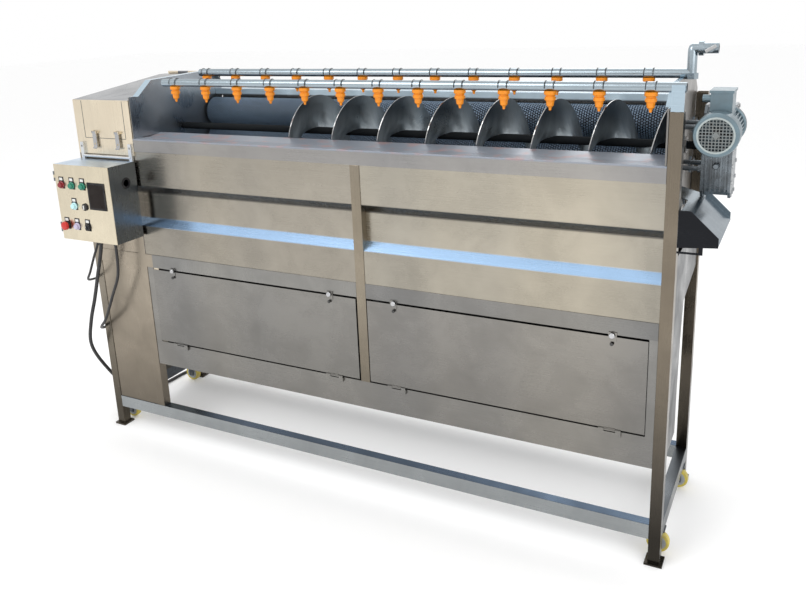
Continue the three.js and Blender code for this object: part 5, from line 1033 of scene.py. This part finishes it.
def smooth_route(points, count):
    """Points along a centripetal curve through the given points, both in millimetres."""
    spots = [Vector(point) for point in points]
    route = []
    last = len(spots) - 1
    for step in range(count + 1):
        place = step / count * last
        index = min(int(place), last - 1)
        share = place - index
        p1, p2 = spots[index], spots[index + 1]
        p0 = spots[index - 1] if index > 0 else p1 * 2 - p2
        p3 = spots[index + 2] if index + 2 <= last else p2 * 2 - p1
        d0, d1, d2 = (max((b - a).length ** 0.5, 1e-4) for a, b in ((p0, p1), (p1, p2), (p2, p3)))
        t1 = ((p1 - p0) / d0 - (p2 - p0) / (d0 + d1) + (p2 - p1) / d1) * d1
        t2 = ((p2 - p1) / d1 - (p3 - p1) / (d1 + d2) + (p3 - p2) / d2) * d1
        c2 = (p2 - p1) * 3 - t1 * 2 - t2
        c3 = (p1 - p2) * 2 + t1 + t2
        route.append(p1 + t1 * share + c2 * share ** 2 + c3 * share ** 3)
    return route


def hose(name, route, radius, *nodes):
    """A piece of cable along a route in machine millimetres."""
    work = bmesh.new()
    rings = []
    across = (route[1] - route[0]).normalized().orthogonal()
    for index, spot in enumerate(route):
        before, after = route[max(index - 1, 0)], route[min(index + 1, len(route) - 1)]
        way = (after - before).normalized()
        across = (across - way * across.dot(way)).normalized()
        other = way.cross(across)
        rings.append(ring_of(work, [
            spot + (across * cos(turn) + other * sin(turn)) * radius
            for turn in circle(16)]))
    tube(work, rings)
    return piece_from(name, work, [cable_sheath], "cable_black", *nodes, smooth=40)


def relief_for(name, profile, x, y, sides):
    """The turned gland that holds a cable where it comes out."""
    work = bmesh.new()
    lathe(work, profile, (x, y, 0), "z", sides)
    return piece_from(name, work, [cable_sheath], "cable_black", smooth=40)


cable_sheath = plastic("cable sheath", (0.014, 0.014, 0.016), 0.42, amount=0.08)
gland_foot = 906.8
work = bmesh.new()
slab(work, 84, 214, -76, -44, 907, 922.7)
piece_from("gland_strip", work, [cable_sheath], "cable_black", "box_cables", smooth=None)
for name, diameter, points in (
        ("motor_cable", 12, [
            (200, -60, 907), (200, -60, 880), (190, -60, 758), (141, -60, 658), (68, -50, 537),
            (10, -26, 488), (-24, 4, 464), (-34, 56, 450), (-16, 96, 446), (2, 96, 446)]),
        ("sensor_cable", 10, [
            (100, -60, 907), (98, -60, 888), (62, -60, 820), (28, -60, 752), (-14, -40, 706),
            (-34, 20, 690), (-32, 76, 684), (-12, 88, 684), (2, 88, 684)])):
    route = smooth_route(points, 90)
    wide = diameter / 2
    cable = hose(name, route, wide)
    relief = relief_for(name + "_relief", [
        (885, wide + 0.3), (885, wide + 1), (899, wide + 4), (gland_foot, wide + 4),
        (gland_foot, wide + 0.3)], *points[0][:2], 20)
lead_radius, coil_turns, coil_steps, coil_tail = 7.5, 2.5, 110, 15


def coil_point(turn):
    """The coil's centreline: in along the floor, up in half a turn, and out again on top."""
    radius = 114 + 18 * (max(turn - 1.5, 0) - min(turn, 1))
    rise = 15.8 * min(max(turn - 1, 0) / 0.5, 1)
    angle = pi - 2 * pi * turn
    return Vector((255 + radius * cos(angle), 734.5 + radius * sin(angle),
                   lead_radius + rise))


entry = coil_point(0) - Vector((0, coil_tail, 0))
lead_route = smooth_route([
    (116, -60, 906.7), (116, -60, 880), (65, -60, 727), (30, -60, 628), (4, -72, 532),
    (-46, -48, 400), (-66, 40, 240), (-72, 150, 96), (-75.9, 230, 34), (-75.9, 310, 14),
    (-74, 420, 8.5), (-64, 540, 8), (-16, 624, 8), (84, 640, 8), (entry.x, entry.y - 44, 7.5),
    entry], 150)
coil_route = [coil_point(coil_turns * step / coil_steps) for step in range(coil_steps + 1)]
heading = coil_point(coil_turns) - coil_point(coil_turns - 1 / 192)
heading.z = 0
heading.normalize()
coil_end = coil_route[-1] + heading * coil_tail
mains_route = [*lead_route, *coil_route, coil_end]
mains = hose("mains_cable", mains_route, lead_radius, "mains_lead", "mains_coil")
mains_relief = relief_for("mains_relief", [
    (880, 7.8), (880, 8.6), (900, 12.5), (gland_foot, 12.5), (gland_foot, 7.8)], 116, -60, 24)
plug_red = plastic("plug red", (0.45, 0.02, 0.012), 0.3, amount=0.1)
up = Vector((0, 0, 1))
aside = heading.cross(up)
work = bmesh.new()
turned(work, [(0, 0), (0, 8), (34, 15), (34, 20), (37, 22), (78, 22), (79, 21), (84, 21), (85, 22),
              (116, 22), (118, 21), (118, 18), (84, 18), (84, 0)], coil_end, heading, aside, 40)
for pin in range(4):
    angle = pi * (pin + 0.5) / 2
    root = coil_end + (aside * cos(angle) + up * sin(angle)) * 10
    turned(work, [(83, 0), (83, 3), (112, 3), (114, 2), (114, 0)], root, heading, aside, 14, 1)
plug = piece_from("mains_plug_body", work, [plug_red, zinc], "plug_red", "mains_plug")

# Floor, light and camera: a pale plain floor, three soft studio lights and a white background.
# The camera stands where the photograph was taken from.


def seen_directly(tree):
    """One for the rays that show the background itself or its reflection, nought for its light."""
    path = tree.nodes.new("ShaderNodeLightPath").outputs
    seen = maths("MAXIMUM", path["Is Camera Ray"], path["Is Glossy Ray"])
    return maths("MAXIMUM", seen, path["Is Transmission Ray"])


floor_mesh = bpy.data.meshes.new("floor")
floor_mesh.from_pydata([(-30, -30, 0), (30, -30, 0), (30, 30, 0), (-30, 30, 0)], [], [(0, 1, 2, 3)])
floor = show_plain(bpy.data.objects.new("floor", floor_mesh))
floor_material, shader, place = blank_material("pale floor")
shader.inputs["Roughness"].default_value = 0.9
shader.inputs["Emission Color"].default_value = (1, 1, 1, 1)
wire(shader, {
    "Base Color": ranged(noise(place, 3.0, 4.0), to_low=0.92, to_high=0.94),
    "Emission Strength": maths("MULTIPLY", seen_directly(shader.id_data), 0.09)})
floor_mesh.materials.append(floor_material)
world = bpy.data.worlds.new("studio")
bpy.context.scene.world = world
world.use_nodes = True
tree = world.node_tree
tree.nodes.clear()
strength = ranged(seen_directly(tree), to_low=0.95, to_high=1.0)
light = put(tree, "ShaderNodeBackground", {"Color": (1, 1, 1, 1), "Strength": strength})
put(tree, "ShaderNodeOutputWorld", {"Surface": light.outputs[0]})
lit_height = 0.9
for name, spot, size, power in (
        ("key", (-1.8, -3.6, 4.2), 3.0, 90), ("fill", (3.6, -2.6, 2.6), 2.5, 35),
        ("back", (0.4, 3.4, 3.8), 3.0, 50)):
    data = bpy.data.lights.new(name, "AREA")
    data.size, data.energy = size, power
    lamp = show_plain(bpy.data.objects.new(name, data))
    lamp.location = spot
    lamp.rotation_mode = "QUATERNION"
    aim = Vector((0, 0, lit_height)) - Vector(spot)
    lamp.rotation_quaternion = aim.to_track_quat("-Z", "Y")
photo_width, focal_length, horizon_drop = 806, 804.46, 295 - 229
camera_data = bpy.data.cameras.new("photograph")
camera_data.sensor_width = 36.0
camera_data.lens = focal_length / photo_width * 36.0
camera_data.shift_y = -horizon_drop / photo_width
camera_data.clip_start, camera_data.clip_end = 0.05, 200
camera = show_plain(bpy.data.objects.new("camera", camera_data))
turn = Vector((1.8091904, 0.40706861, -0.36354281))
seen_from = Matrix.Rotation(turn.length, 3, turn.normalized())
axes = Matrix((seen_from[0], -Vector(seen_from[1]), -Vector(seen_from[2]))).transposed()
camera.matrix_world = Matrix.Translation(Vector((1.46597, -2.54397, 1.78592))) @ axes.to_4x4()
bpy.context.scene.camera = camera
bpy.context.scene.view_settings.view_transform = "Standard"
